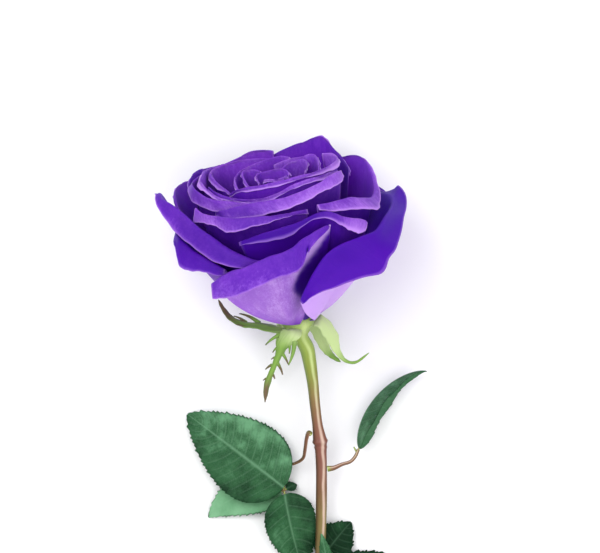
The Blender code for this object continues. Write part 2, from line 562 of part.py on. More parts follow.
def settle(root, group):
    """Moves the root so the box's bottom centre is the origin."""
    low, high = Vector((1e9,) * 3), Vector((-1e9,) * 3)
    graph = bpy.context.evaluated_depsgraph_get()
    for obj in group.objects:
        if obj.type != "MESH":
            continue
        solid = obj.evaluated_get(graph)
        for v in solid.data.vertices:
            for k in range(3):
                low[k] = min(low[k], v.co[k])
                high[k] = max(high[k], v.co[k])
    root.location = (-(low.x + high.x) / 2, -(low.y + high.y) / 2, -low.z)


build()
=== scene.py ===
"""A violet cut rose lying on a pale table: rolled petals, sepals, serrated leaves and a ridged stem.

World frame: +Y runs along the stem towards the bloom, +Z is up and z = 0 is the surface it lies on.
The tables are in millimetres and degrees, measured from the point under the bloom's heart; SETTLE moves
that point to its place in the part's frame.
"""
from __future__ import annotations

import logging
import math
from dataclasses import dataclass
from enum import Enum

import bpy
import numpy as np
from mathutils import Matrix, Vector
from mathutils.bvhtree import BVHTree


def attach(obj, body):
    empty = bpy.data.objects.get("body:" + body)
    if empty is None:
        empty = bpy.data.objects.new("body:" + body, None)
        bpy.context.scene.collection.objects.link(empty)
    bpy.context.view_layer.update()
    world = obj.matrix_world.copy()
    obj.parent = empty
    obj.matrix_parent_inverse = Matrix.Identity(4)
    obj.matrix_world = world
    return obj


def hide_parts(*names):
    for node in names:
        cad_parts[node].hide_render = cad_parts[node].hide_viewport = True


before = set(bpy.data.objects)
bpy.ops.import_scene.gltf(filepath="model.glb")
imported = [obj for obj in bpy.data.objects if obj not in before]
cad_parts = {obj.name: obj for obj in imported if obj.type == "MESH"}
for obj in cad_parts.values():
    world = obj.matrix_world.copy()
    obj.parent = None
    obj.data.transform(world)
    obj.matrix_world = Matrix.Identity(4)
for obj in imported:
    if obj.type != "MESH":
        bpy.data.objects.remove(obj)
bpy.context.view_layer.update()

log = logging.getLogger("rose")

MM = 0.001
SETTLE = np.array((2.797, 22.53853, 0.07851))
Row = tuple[float, float, float]
Colour = tuple[float, float, float]
Line = list[Row]

# ---------------------------------------------------------------- the bloom's own polar frame
LEAN = math.radians(10.0)
TILT = math.radians(22.0)
AXIS = Vector((-math.sin(LEAN) * math.cos(TILT), math.cos(LEAN) * math.cos(TILT), math.sin(TILT)))
SIDE = Vector((math.cos(LEAN), math.sin(LEAN), 0.0))
FRONT = Vector((math.sin(TILT) * math.sin(LEAN), -math.sin(TILT) * math.cos(LEAN), math.cos(TILT)))
HEART = Vector((0.0, 0.0, 31.0))

# Rows of a petal's control points from foot to fold and from fold to rim, as shares of each stretch.
BELLY_ROWS = (0.0, 0.16, 0.36, 0.58, 0.8, 1.0)
BAND_ROWS = (0.5, 1.0)

# Feet of the petals: half their width, the turn from foot to fold, and how they stack up the receptacle.
FOOT_HALF = 15.0
FOOT_TURN = 1.8
FOOT_RISE = 2.0
FOOT_STEP = 1.0
FOOT_APART = 46.0
FOOT_RADIUS = 7.1
FOOT_TAPER = 0.55
LEAST_BAND = 1.0

# How petals are pushed clear of one another, in millimetres and shares of a shift.
PETAL_GAP = 1.05
SEARCH_REACH = 5.0
FACING_SHARE = 0.8
TOUCHING_SHARE = 0.6
RELAX_ROUNDS = 30
RELAX_SHARE = 0.6
RELAX_END = 0.05
FOLLOW_SHARE = 0.7


class Cup(Enum):
    """How a petal's side swells: outward and upward shares of its two inner curve handles."""

    OPEN = (0.25, 0.14, 0.80, 0.39)
    HEART = (0.30, 0.12, 1.10, 0.50)
    INNER = (0.30, 0.10, 0.98, 0.42)
    SLIM = (0.25, 0.14, 0.69, 0.39)


@dataclass(frozen=True)
class PetalPlan:
    """Foot angle, fold line and free edge of one petal, both lines as (angle, radius, height) points."""

    name: str
    foot: float
    fold: Line
    edge: Line
    cup: Cup = Cup.OPEN
    columns: int = 13
    middle: tuple[float, float] = (0.0, 0.0)
    bulging: float = 0.1


@dataclass(frozen=True)
class HeartPlan:
    """A small petal: its foot's angle, the middle its rim stands round, the rim, and the lip's width."""

    foot: float
    middle: tuple[float, float]
    rim: Line
    lips: list[float]

    def petal(self, number: int) -> PetalPlan:
        """The same petal in the form of the shaped ones.

        Args:
            number: its number in the heart, from 1.

        Returns:
            Its plan, named after the number.
        """
        edge = [(angle, radius + 0.8 * lip, height - 0.55 * lip)
                for (angle, radius, height), lip in zip(self.rim, self.lips)]
        return PetalPlan(f"heart_{number:02d}", self.foot, self.rim, edge, Cup.HEART, 10, self.middle)


SHAPED_PETALS = [
    PetalPlan(
        "inner_front", 104,
        [(142, 22.5, 64.2), (128, 22.8, 67), (112, 23.2, 68.4), (92, 23.6, 69.2), (70, 24.2, 69.6),
         (50, 25, 69), (32, 25.6, 68.2), (16, 26, 67.2), (0, 26.2, 66), (-14, 25.6, 65),
         (-27, 23.6, 64.2)],
        [(142, 23.1, 63.5), (128, 23.5, 66.4), (112, 23.9, 67.9), (92, 24.3, 68.7), (70, 25, 69),
         (50, 25.9, 68.4), (32, 27, 67.4), (16, 27.8, 66), (0, 27.8, 64.8), (-14, 26.8, 64),
         (-27, 24.4, 63.4)],
        Cup.INNER,
    ),
    PetalPlan(
        "second_front", 80,
        [(165, 26.2, 65.6), (152, 26.6, 65.6), (140, 26.8, 65.2), (126, 27, 65), (112, 27.2, 64.8),
         (98, 27.4, 65.2), (84, 27.5, 66.8), (70, 27.6, 68.4), (54, 27.8, 68), (38, 28, 67),
         (22, 27.8, 64.4)],
        [(165, 26.8, 65), (152, 27.5, 65), (140, 27.7, 64.6), (126, 27.8, 64.3), (112, 27.9, 64.2),
         (98, 28.1, 64.6), (84, 28.1, 66.2), (70, 28.2, 67.8), (54, 28.4, 67.4), (38, 28.6, 66.4),
         (22, 28.4, 63.8)],
        Cup.INNER,
    ),
    PetalPlan(
        "back_left", 205,
        [(138, 23.5, 64.5), (152, 24.6, 67), (166, 25.2, 68.4), (188, 26, 67.6), (212, 28.5, 64.2),
         (238, 30.5, 61.2), (260, 31.2, 62.6), (274, 30.5, 61)],
        [(138, 24.2, 64), (152, 26, 66.4), (166, 27, 67.6), (188, 28, 66.6), (212, 29.6, 63.8),
         (238, 31.5, 61.2), (260, 32.4, 62.6), (274, 31.4, 60.5)],
        Cup.INNER,
    ),
    PetalPlan(
        "back_peak", 312,
        [(266, 30.5, 57.4), (282, 32.2, 60.2), (297, 32.8, 63), (311, 32.8, 65.4), (322, 32.4, 61.6),
         (338, 31.5, 58), (356, 30, 57.6)],
        [(266, 31.2, 57), (282, 33.2, 60.2), (297, 33.8, 63.4), (311.5, 34.2, 66.6), (323, 33.4, 61.6),
         (338, 32.4, 57.8), (356, 31, 57)],
        Cup.OPEN,
    ),
    PetalPlan(
        "left_shoulder", 160,
        [(206, 28, 63.4), (186, 28.6, 66), (167, 28.9, 67.4), (154, 28.9, 66.2), (140, 28.6, 65.4),
         (124, 28.4, 64.8), (106, 28.4, 63.6), (88, 28.4, 62.4), (74, 28.4, 61.6)],
        [(206, 29.6, 62.5), (186, 31, 64.8), (166, 32, 63.6), (149, 31, 62.4), (132, 29.9, 61.8),
         (118, 29.6, 61.6), (104, 29.2, 61.8), (88, 29, 61.4), (74, 29, 60.8)],
        Cup.INNER,
    ),
    PetalPlan(
        "first_band", 95,
        [(140, 30.4, 60.6), (130, 31, 63.4), (117, 31.2, 65), (102, 31.4, 65.9), (86, 31.4, 66.2),
         (70, 31.3, 66.8), (54, 31.2, 67.4), (42, 31, 68), (30, 30.6, 66.6)],
        [(141, 31.2, 60), (124, 33.8, 61.6), (110, 34.6, 61.6), (96, 34.8, 61.8), (82, 35, 62.8),
         (68, 35, 64.6), (55, 34.8, 65), (45, 34.6, 64.6), (32, 32.4, 65.4)],
        Cup.OPEN,
    ),
    PetalPlan(
        "back_shoulder", 232,
        [(188, 33, 60), (203, 34.5, 62), (217, 35, 62), (232, 35, 60), (250, 35, 58.5), (268, 34.5, 57)],
        [(188, 34.4, 59.6), (203, 35.8, 62), (217, 36.2, 62.2), (232, 36, 60), (250, 36, 58.4),
         (268, 35.4, 56.6)],
        Cup.SLIM,
    ),
    PetalPlan(
        "second_band", 110,
        [(147, 37.6, 64), (141, 37.3, 61.9), (132, 37.2, 61.9), (120, 37.6, 62.3), (108, 37.8, 62.2),
         (96, 37.6, 61.6), (84, 37.2, 61), (72, 36.4, 60)],
        [(149, 39.4, 58.4), (138, 39.8, 59), (129, 40, 59.2), (119.5, 41, 57.4), (107.5, 40.6, 59),
         (95, 39.2, 60.2), (84, 38.2, 60.4), (72, 37.1, 59.4)],
        Cup.OPEN,
    ),
    PetalPlan(
        "left_back", 196,
        [(158, 38, 55), (176, 39, 59.5), (193, 39.2, 60.6), (210, 39.2, 58.8), (226, 39, 55.5),
         (243, 38.4, 52)],
        [(158, 39.2, 54.5), (176, 40.4, 59.4), (193, 40.6, 60.8), (210, 40.6, 58.8), (226, 40.4, 55.2),
         (243, 39.6, 51.6)],
        Cup.SLIM,
    ),
    PetalPlan(
        "right_roll", 18,
        [(-42, 34.4, 56), (-25, 37.6, 59), (-12, 38.6, 56.8), (2, 38.8, 53), (20, 39.4, 52.4),
         (33, 39.4, 56.4), (45, 39.4, 60), (57, 39.3, 61.3), (67, 39.2, 61.8)],
        [(-42, 35.4, 55.6), (-25, 39, 59.2), (-12, 40.2, 56.6), (2, 41, 52.4), (20, 42.8, 49.8),
         (31, 45, 51.4), (42, 43.8, 54.8), (55, 42.8, 57.8), (67, 40.9, 60.9)],
        Cup.OPEN,
    ),
    PetalPlan(
        "right_flap", 55,
        [(43.7, 46.4, 49.6), (45.5, 46, 51.8), (51.4, 45.5, 53.9), (57, 45, 56.6), (62, 44.5, 59.2),
         (68, 43.6, 60.6), (80, 42.8, 58.6), (91, 42.7, 57.8), (102, 42.6, 56.6), (114, 42.4, 53.2)],
        [(48.2, 49, 48.4), (53, 49.6, 49), (56.3, 49.5, 50.6), (58.8, 49, 53.3), (61, 48, 55.2),
         (65.5, 46, 58), (74, 43.8, 58.8), (83, 44, 55.8), (92, 44.3, 54.2), (103, 44, 53.6),
         (114, 43.2, 52.2)],
        Cup.OPEN,
    ),
    PetalPlan(
        "left_roll", 140,
        [(184, 44, 61), (175, 44, 64.6), (166, 43.8, 66.4), (154, 42.8, 66), (140, 42.6, 59.8),
         (123, 42.8, 53.6), (107, 42.4, 47), (98, 41.6, 43.6), (88, 40.4, 39.6)],
        [(182, 47, 63.2), (172, 47.4, 67.2), (164, 48.4, 68.6), (157, 48.8, 64.4), (149.5, 48.2, 57.4),
         (138, 48.4, 53), (125.5, 47.6, 47.6), (112.6, 46.6, 45.2), (100, 43.4, 41.6), (88, 41.2, 38.2)],
        Cup.SLIM,
    ),
    PetalPlan(
        "left_low", 166,
        [(212, 38.6, 40), (192, 39.4, 45), (170, 40.8, 49.6), (152, 44.4, 52), (137, 45, 48.4),
         (124, 43.6, 42)],
        [(212, 40.6, 38), (192, 41, 43), (170, 42.6, 47.4), (152, 48.6, 50.4), (144, 52, 44.6),
         (136, 49.6, 42.6), (124, 45.2, 40)],
        Cup.SLIM,
    ),
    PetalPlan(
        "front_roll", 100,
        [(130.8, 47, 37.7), (118.5, 47.4, 43.9), (104, 47.6, 48.9), (92.4, 47.4, 52), (81.5, 47, 54),
         (71.3, 46.4, 55.4), (65.2, 45.8, 55.2)],
        [(130, 49.4, 31.4), (121.4, 50.2, 33), (109.8, 50.8, 37.2), (99.1, 51, 40.5), (90, 51, 43.2),
         (83.7, 50.4, 44.4), (80.2, 49.8, 47.5), (75.7, 48.8, 51.5), (66.7, 47, 54.5)],
        Cup.SLIM,
    ),
    PetalPlan(
        "right_outer", 34,
        [(-35, 41, 40), (-22, 42.5, 41.5), (-12, 43.5, 43.5), (4, 44.5, 44.6), (20, 45.5, 46.6),
         (36, 46.2, 49), (50, 46.6, 50.2), (61, 46.9, 50.8), (70, 47.4, 47.4), (78, 47.6, 40),
         (83.5, 46.6, 33), (87, 44.6, 26.6)],
        [(-35, 48, 41.6), (-29, 48.6, 40), (-22, 49.6, 41.4), (-15.6, 50.4, 45.4), (-7, 51, 42.6),
         (11, 51, 43.6), (31, 51.6, 42.4), (42, 52.6, 39.4), (48.4, 53.6, 37.2), (52.7, 54.6, 32.4),
         (63, 52.4, 32.6), (73.4, 51, 31), (81.8, 49.6, 29.6), (86, 46, 26)],
        Cup.SLIM, bulging=-0.05,
    ),
    PetalPlan(
        "under_left", 236,
        [(200, 40, 38), (216, 44, 43), (234, 48.4, 45), (249, 47, 45), (262, 43.6, 43), (275, 41, 40)],
        [(200, 42, 36), (216, 48, 41.6), (234, 59, 39.8), (249, 50.6, 42), (262, 45.2, 41),
         (275, 42, 38.4)],
        Cup.SLIM,
    ),
    PetalPlan(
        "under_right", 306,
        [(262, 46.4, 36), (280, 47, 41), (296, 47.6, 43), (312, 47.4, 42.6), (328, 46, 41),
         (344, 44.4, 38)],
        [(262, 47.6, 34.4), (280, 49, 39), (296, 51.4, 39.4), (312, 51.6, 38.8), (328, 49, 38.6),
         (344, 46.4, 36)],
        Cup.OPEN,
    ),
]

HEART_PETALS = [
    HeartPlan(
        90, (1.2, 4.6),
        [(-60, 1.9, 62.6), (10, 2.2, 63.6), (80, 2.1, 63.8), (150, 2.3, 64.2), (215, 2.4, 63)],
        [0.4, 0.5, 0.5, 0.7, 0.4],
    ),
    HeartPlan(
        95, (1.2, 4.6),
        [(200, 4, 63.4), (160, 4.2, 64.4), (125, 4.4, 65.4), (90, 4.6, 65.2), (60, 4.4, 65),
         (25, 4.2, 64.8), (-10, 4, 63.2)],
        [0.4, 0.6, 1, 0.8, 1, 0.9, 0.4],
    ),
    HeartPlan(
        250, (0.6, 4),
        [(168, 6, 63.4), (180, 6.5, 65), (202, 6.8, 65.6), (221, 6.6, 65.2), (254, 5.4, 65),
         (293, 5.2, 65.4), (328, 5.6, 65.2), (352, 5.8, 64)],
        [0.6, 1, 1.2, 0.8, 0.6, 0.6, 0.8, 0.5],
    ),
    HeartPlan(
        300, (6, 2),
        [(228, 6.2, 62.8), (258, 7, 63.8), (281, 9.6, 64.6), (301, 11.2, 64.8), (316, 10.7, 65.2),
         (336, 8.6, 65), (362, 6.8, 63.8)],
        [0.5, 0.6, 0.7, 1, 1.6, 1.4, 0.6],
    ),
    HeartPlan(
        200, (-3, 4),
        [(262, 7.6, 64.2), (247, 8.2, 65.6), (232, 8.8, 66.2), (213, 9.4, 67), (190, 8.2, 65.6),
         (160, 7.6, 64.6), (128, 8.2, 63.4)],
        [0.6, 0.8, 1, 1.7, 0.8, 0.6, 0.5],
    ),
    HeartPlan(
        330, (5, 3),
        [(255, 13.8, 63.4), (275, 13.6, 64.6), (303, 14.4, 65.4), (317, 16.2, 66.2), (332, 15.2, 65.4),
         (352, 13.6, 64.8), (374, 13.4, 64)],
        [0.6, 0.8, 1, 2, 1.4, 1.6, 0.8],
    ),
    HeartPlan(
        230, (-2, 3),
        [(134, 16.6, 65.4), (151, 14.4, 66), (175, 12.6, 66.2), (212, 12, 66), (240, 12.4, 65.8),
         (262, 12.8, 65.8), (284, 12.8, 65.4), (308, 13, 64.8)],
        [0.9, 1, 1, 0.9, 0.9, 0.8, 0.8, 0.6],
    ),
    HeartPlan(
        200, (-2, 0),
        [(143, 18.8, 63.4), (153, 19.2, 65), (169, 19.8, 66), (189, 21.5, 66.6), (202, 23, 66.3),
         (218, 22.6, 65.5), (236, 20.6, 65.2), (257, 17.6, 64.8), (280, 16, 64.2)],
        [0.8, 1.4, 2, 2.2, 1.6, 1.1, 0.9, 0.8, 0.6],
    ),
]


@dataclass(frozen=True)
class Look:
    """How much painted light a petal's inner face gets at its first and last edge, and how much paler its
    reverse is.
    """

    first: float
    last: float
    pale: float = 0.0


HEART_LOOK = Look(0.75, 0.75)
LOOKS = {
    "inner_front": Look(0.5, 0.9),
    "second_front": Look(0.5, 0.75),
    "back_left": Look(0.85, 0.7),
    "back_peak": Look(0.45, 0.3),
    "left_shoulder": Look(0.5, 0.7),
    "first_band": Look(0.32, 0.85),
    "back_shoulder": Look(0.15, 0.3),
    "second_band": Look(0.75, 0.40),
    "left_back": Look(0.5, 0.5),
    "right_roll": Look(0.6, 0.65),
    "right_flap": Look(0.95, -0.1),
    "left_roll": Look(0.4, 0.2),
    "left_low": Look(0.1, 0.1, 0.3),
    "front_roll": Look(0.48, 0.34, 0.96),
    "right_outer": Look(-0.05, -0.05, 1.25),
    "under_left": Look(0.3, 0.3, 0.8),
    "under_right": Look(0.3, 0.3, 0.8),
}


@dataclass(frozen=True)
class Crease:
    """A tear in a petal's rim with a painted shadow in it, and a fold with painted shade on one side of its
    reverse and a painted highlight along its ridge.

    `tear`, `width` and `side` are shares of the petal's width, `ridge` is a share of its length that shifts
    by `climb` across the petal, and `depth` is in millimetres.
    """

    tear: float
    depth: float
    side: float
    ridge: float
    climb: float
    width: float = 0.026
    slope: float = 1.3
    shade: float = 0.6

    def slit(self, across: np.ndarray) -> np.ndarray:
        """Strength of the tear.

        Args:
            across: place across the petal, 0 to 1.

        Returns:
            0 to 1 at each place.
        """
        return np.exp(-((across - self.tear) / self.width) ** 2)

    def shades(self, across: np.ndarray, height: np.ndarray) -> tuple[np.ndarray, np.ndarray]:
        """Painted shade and highlight round the fold, and painted shadow in the tear.

        Args:
            across: place across the petal, 0 to 1.
            height: place from foot to rim, 0 to 1.

        Returns:
            Strength of the painted shade below the ridge and of the painted shadow in the tear, and of the
            painted highlight on the ridge, 0 to 1.
        """
        border = self.side + self.slope * np.maximum(0.5 - height, 0.0)
        beside = step(border - 0.05, border + 0.06, across)
        ridge = self.ridge + self.climb * (across - self.tear)
        above = step(ridge - 0.03, ridge + 0.03, height)
        torn = self.slit(across) * step(0.84, 0.90, height) * (1 - step(0.99, 1.0, height))
        return np.maximum(self.shade * beside * (1 - above), torn), beside * above


CREASES = {"front_roll": Crease(tear=0.72, depth=1.6, side=0.55, ridge=0.60, climb=0.35)}


# ---------------------------------------------------------------- stem, sepals and leaves
# The receptacle and the sepals' feet are (height, radius) and (radius, height) in the bloom's polar frame.
STEM_PATH: Line = [
    (3.5, -10.4, 24.9), (4.7, -16, 22.9), (5.9, -24, 20.6), (6.8, -33, 18.6), (7.8, -41, 16.9),
    (8.8, -47.2, 15.7), (9.1, -50, 15.1), (9.4, -59, 13.4), (9.4, -71, 11.2), (9.2, -83, 8.9),
    (8.8, -95, 6.7), (8.5, -107, 4.5), (8.3, -119, 2.3),
]
STEM_RADII = [3.0, 2.7, 2.3, 2.1, 2.1, 2.75, 2.4, 2.2, 2.25, 2.05, 2.0, 2.05, 2.1]
RECEPTACLE = [(11.7, 0.5), (10.7, 1.3), (6.3, 3.8), (2.0, 6.2), (-0.6, 6.3), (-3.2, 4.6), (-6.4, 3.1)]
SEPAL_ROOT = (7.05, -0.6)
SEPAL_BEND = (9.2, -0.9)


class Side(Enum):
    """Which edge of a sepal a small lobe grows from."""

    LEFT = -1.0
    RIGHT = 1.0


@dataclass(frozen=True)
class Lobe:
    """A small pointed lobe on a sepal's edge: its place, sizes, and the angles it leaves and rises at."""

    place: float
    side: Side
    length: float
    width: float
    lean: float = 35.0
    rise: float = 0.0


@dataclass(frozen=True)
class SepalPlan:
    """Root angle, the path after the bend, half widths, where its inner face looks, ripeness and lobes."""

    name: str
    root: float
    path: Line
    widths: list[float]
    facing: Row
    ripe: float
    lobes: tuple[Lobe, ...] = ()


SEPALS = [
    SepalPlan(
        "left", 172,
        [(-16, -1.4, 26.6), (-21.4, -1.0, 24), (-26.6, 1.4, 22.6), (-29.8, 5.2, 21.8), (-31.8, 8.9, 21.6)],
        [3.0, 2.9, 2.5, 2.1, 1.5, 0.9, 0.4], (-0.16, 0.91, 0.38), 0.30,
        (Lobe(0.34, Side.RIGHT, 10.5, 0.9, 13, 62), Lobe(0.50, Side.RIGHT, 6.2, 0.7, 12, 62),
         Lobe(0.46, Side.LEFT, 4.0, 0.7, 20, -50)),
    ),
    SepalPlan(
        "front", 112,
        [(-5.8, -8.4, 37.2), (-7.4, -12.4, 34.8), (-9.8, -18, 32), (-12.4, -25, 29.4), (-13.2, -32, 28.4)],
        [3.6, 4.0, 2.7, 1.5, 1.0, 1.2, 0.4], (0.1, -0.25, 1.0), 0.12,
        (Lobe(0.22, Side.LEFT, 10.0, 1.1, 26), Lobe(0.26, Side.RIGHT, 8.5, 0.9, 12),
         Lobe(0.31, Side.LEFT, 3.4, 0.6, 32), Lobe(0.44, Side.RIGHT, 3.0, 0.5, 18),
         Lobe(0.50, Side.LEFT, 5.0, 0.7, 42), Lobe(0.56, Side.RIGHT, 1.8, 0.4, 30),
         Lobe(0.62, Side.LEFT, 5.4, 0.7, 40), Lobe(0.66, Side.RIGHT, 3.4, 0.6, 28),
         Lobe(0.74, Side.LEFT, 2.0, 0.5, 40), Lobe(0.78, Side.RIGHT, 1.6, 0.4, 35)),
    ),
    SepalPlan(
        "right", 12,
        [(13.4, -5.6, 27.4), (15.4, -11.0, 24), (18.6, -15.2, 21.4), (23, -16, 20.4), (28.4, -12.2, 20)],
        [3.6, 3.6, 2.8, 1.5, 0.7, 0.5, 0.3], (0.25, 0.1, 1.0), -0.22,
    ),
    SepalPlan(
        "under_left", 238,
        [(-6.8, -5.0, 17.4), (-7.8, -13.4, 12.6), (-9.8, -18.6, 9.8), (-11.4, -23.6, 8.2)],
        [3.2, 3.4, 2.0, 1.3, 0.9, 0.4], (-0.4, 0.1, -0.9), 0.0,
    ),
    SepalPlan(
        "under_right", 304,
        [(8.0, -4.0, 16.4), (10.8, -10.4, 11.2), (13.6, -13.6, 8.6), (17, -16, 7.4)],
        [3.2, 3.8, 3.0, 2.0, 1.1, 0.5], (0.4, 0.1, -0.9), -0.30,
    ),
]


@dataclass(frozen=True)
class LeafPlan:
    """Shape and look of one leaflet, in millimetres.

    It runs from `base` to `tip` with a half width of `half`. `bow` bends it sideways, `lift` raises its
    middle and `fold` raises its halves; `facing` is where its upper face looks. `under` shows its underside
    to the sky, `tone` is how much painted light it gets, `lit_slant` how much more painted light one half
    and its tip end get, and `bite` how deep its teeth are.
    """

    name: str
    base: Row
    tip: Row
    half: float
    bow: float
    lift: float
    fold: float
    facing: Row
    teeth: int = 24
    veins: int = 9
    under: bool = False
    tone: float = 0.5
    lit_slant: float = 0.0
    bite: float = 0.75


LEAFLETS = [
    LeafPlan("left_end", (-5.6, -66.2, 6.3), (-44.4, -36.8, 0.5), 16.0, 0.0, 3.0, 0.10, (0.10, 0.0, 1.0),
             teeth=27, veins=13, tone=0.66, lit_slant=0.5),
    LeafPlan("left_lower", (-5.3, -68.7, 5.3), (2.2, -99.5, 1.6), 10.6, 1.2, 2.2, 0.16, (0.2, 0.0, 1.0),
             teeth=22, veins=6, tone=0.42, lit_slant=0.1),
    LeafPlan("left_under", (-6.8, -67.7, 3.6), (-35.8, -78.4, 1.4), 9.0, 4.0, 0.6, 0.12, (0.0, 0.04, 1.0),
             teeth=18, veins=8, under=True, tone=0.9),
    LeafPlan("left_small", (-4.6, -66.8, 4.6), (-0.6, -65.0, 1.2), 2.4, 0.0, 0.4, 0.25, (0.1, 0.5, 1.0),
             teeth=5, veins=4, tone=0.05),
    LeafPlan("right", (24.4, -50.4, 10.6), (51.8, -19.8, 8.4), 8.6, 0.8, -9.0, 0.70, (0.9, -0.5, 0.2),
             teeth=14, veins=9, under=True, tone=0.64, bite=1.7),
    LeafPlan("low_upper", (9.9, -94.4, 2.8), (21.3, -80.0, 2.4), 8.5, -0.5, 0.4, 0.06, (0.0, 0.0, 1.0),
             teeth=11, veins=6, tone=0.02),
    LeafPlan("low_right", (14.9, -102.9, 2.1), (36.6, -93.0, 0.4), 8.0, 0.6, 0.2, 0.04, (0.0, 0.0, 1.0),
             teeth=13, veins=8, tone=0.02),
    LeafPlan("low_front", (12.6, -105.8, 7.0), (9.2, -84.4, 12.6), 3.6, 0.4, 0.8, 0.24, (0.1, 0.0, 1.0),
             teeth=9, veins=7, tone=0.6),
]


@dataclass(frozen=True)
class StalkPlan:
    """Route and radii of a leaf's stalk, and the short stalks that carry its leaflets."""

    name: str
    path: Line
    radii: list[float]
    twigs: tuple[Line, ...] = ()


PETIOLES = [
    StalkPlan("left", [(5.0, -44.6, 16.8), (4.2, -44.2, 17.6), (3.4, -46.6, 17.0), (2.8, -51, 13.8),
                       (2.0, -54.4, 10.4), (-1.0, -56.4, 7.4), (-5.2, -57.6, 5.0), (-6.2, -61, 4.3),
                       (-5.7, -67.7, 4.7)],
              [1.0, 0.9, 0.75, 0.7, 0.65, 0.6, 0.6, 0.7, 0.8],
              ([(-5.8, -67.0, 4.7), (-5.6, -66.2, 6.0), (-7.4, -64.9, 6.5)],
               [(-5.7, -67.4, 4.7), (-5.3, -68.7, 5.0), (-4.8, -70.8, 5.2)],
               [(-5.8, -67.2, 4.6), (-6.8, -67.7, 3.5), (-8.6, -68.3, 3.3)],
               [(-5.6, -67.2, 4.7), (-4.6, -66.8, 4.4), (-3.6, -66.3, 3.6)])),
    StalkPlan("right", [(11.8, -58.6, 14.2), (14.4, -58.2, 14.4), (17.6, -56.8, 13.4), (20.8, -55.8, 11.6),
                        (22.8, -53.8, 10.6), (24.1, -50.95, 10.3)],
              [1.2, 0.95, 0.75, 0.7, 0.7, 0.65],
              ([(24.0, -51.2, 10.2), (24.4, -50.4, 10.5), (25.5, -49.0, 10.2)],
               [(23.6, -52.0, 10.3), (22.9, -51.0, 11.0), (22.3, -49.9, 11.6)])),
    StalkPlan("low", [(11.4, -108.4, 4.6), (12.6, -107.2, 5.6), (13.2, -104.8, 4.8), (13.9, -102.3, 3.2),
                      (12.2, -98.6, 2.9), (10.3, -95.3, 2.8)],
              [1.0, 0.85, 0.7, 0.65, 0.6, 0.55]),
]


# ---------------------------------------------------------------- curves and grids
def polar(angle: float, radius: float, height: float) -> Vector:
    """Point of the bloom's polar frame.

    Args:
        angle: in degrees, from the bloom's right side towards its front.
        radius: in millimetres from the axis.
        height: in millimetres along the axis from the heart's foot.

    Returns:
        The point in millimetres.
    """
    a = math.radians(angle)
    return HEART + AXIS * height + (SIDE * math.cos(a) + FRONT * math.sin(a)) * radius


def smooth(points: np.ndarray, at: np.ndarray) -> np.ndarray:
    """Catmull-Rom values of a row of points.

    Args:
        points: the points, first axis first.
        at: places in 0..len(points) - 1.

    Returns:
        One value for each place.
    """
    last = len(points) - 1
    i = np.clip(np.floor(at).astype(int), 0, last - 1)
    f = (at - i).reshape(-1, *([1] * (points.ndim - 1)))
    full = np.concatenate([[2 * points[0] - points[1]], points, [2 * points[-1] - points[-2]]])
    p0, p1, p2, p3 = full[i], full[i + 1], full[i + 2], full[i + 3]
    return 0.5 * (2 * p1 + (p2 - p0) * f + (2 * p0 - 5 * p1 + 4 * p2 - p3) * f ** 2
                  + (3 * p1 - p0 - 3 * p2 + p3) * f ** 3)


def spline(points: Line | list[float], share: float) -> Vector | float:
    """Catmull-Rom value of a line.

    Args:
        points: the line's points or numbers.
        share: place along it, 0 to 1.

    Returns:
        The point or number there.
    """
    values = np.array(points, dtype=float)
    value = smooth(values, np.array([min(max(share, 0.0), 1.0) * (len(values) - 1)]))[0]
    return Vector(value) if values.ndim > 1 else float(value)


def bezier(p0: float, p1: float, p2: float, p3: float, t: float) -> float:
    """Cubic Bezier of plain numbers.

    Args:
        p0: start.
        p1: first handle.
        p2: second handle.
        p3: end.
        t: place along it, 0 to 1.

    Returns:
        The number there.
    """
    u = 1.0 - t
    return p0 * u ** 3 + 3 * p1 * u * u * t + 3 * p2 * u * t * t + p3 * t ** 3


def step(low: float, high: float, x: np.ndarray) -> np.ndarray:
    """Smooth rise from 0 to 1.

    Args:
        low: where it leaves 0.
        high: where it reaches 1.
        x: the values to read it at.

    Returns:
        0 to 1 for each value.
    """
    t = np.clip((x - low) / (high - low), 0.0, 1.0)
    return t * t * (3 - 2 * t)


def unit(vectors: np.ndarray) -> np.ndarray:
    """Vectors of length one."""
    return vectors / np.maximum(np.linalg.norm(vectors, axis=-1, keepdims=True), 1e-9)


def normals_of(grid: np.ndarray) -> np.ndarray:
    """Unit normals of a grid of points."""
    return unit(np.cross(np.gradient(grid, axis=1), np.gradient(grid, axis=0)))


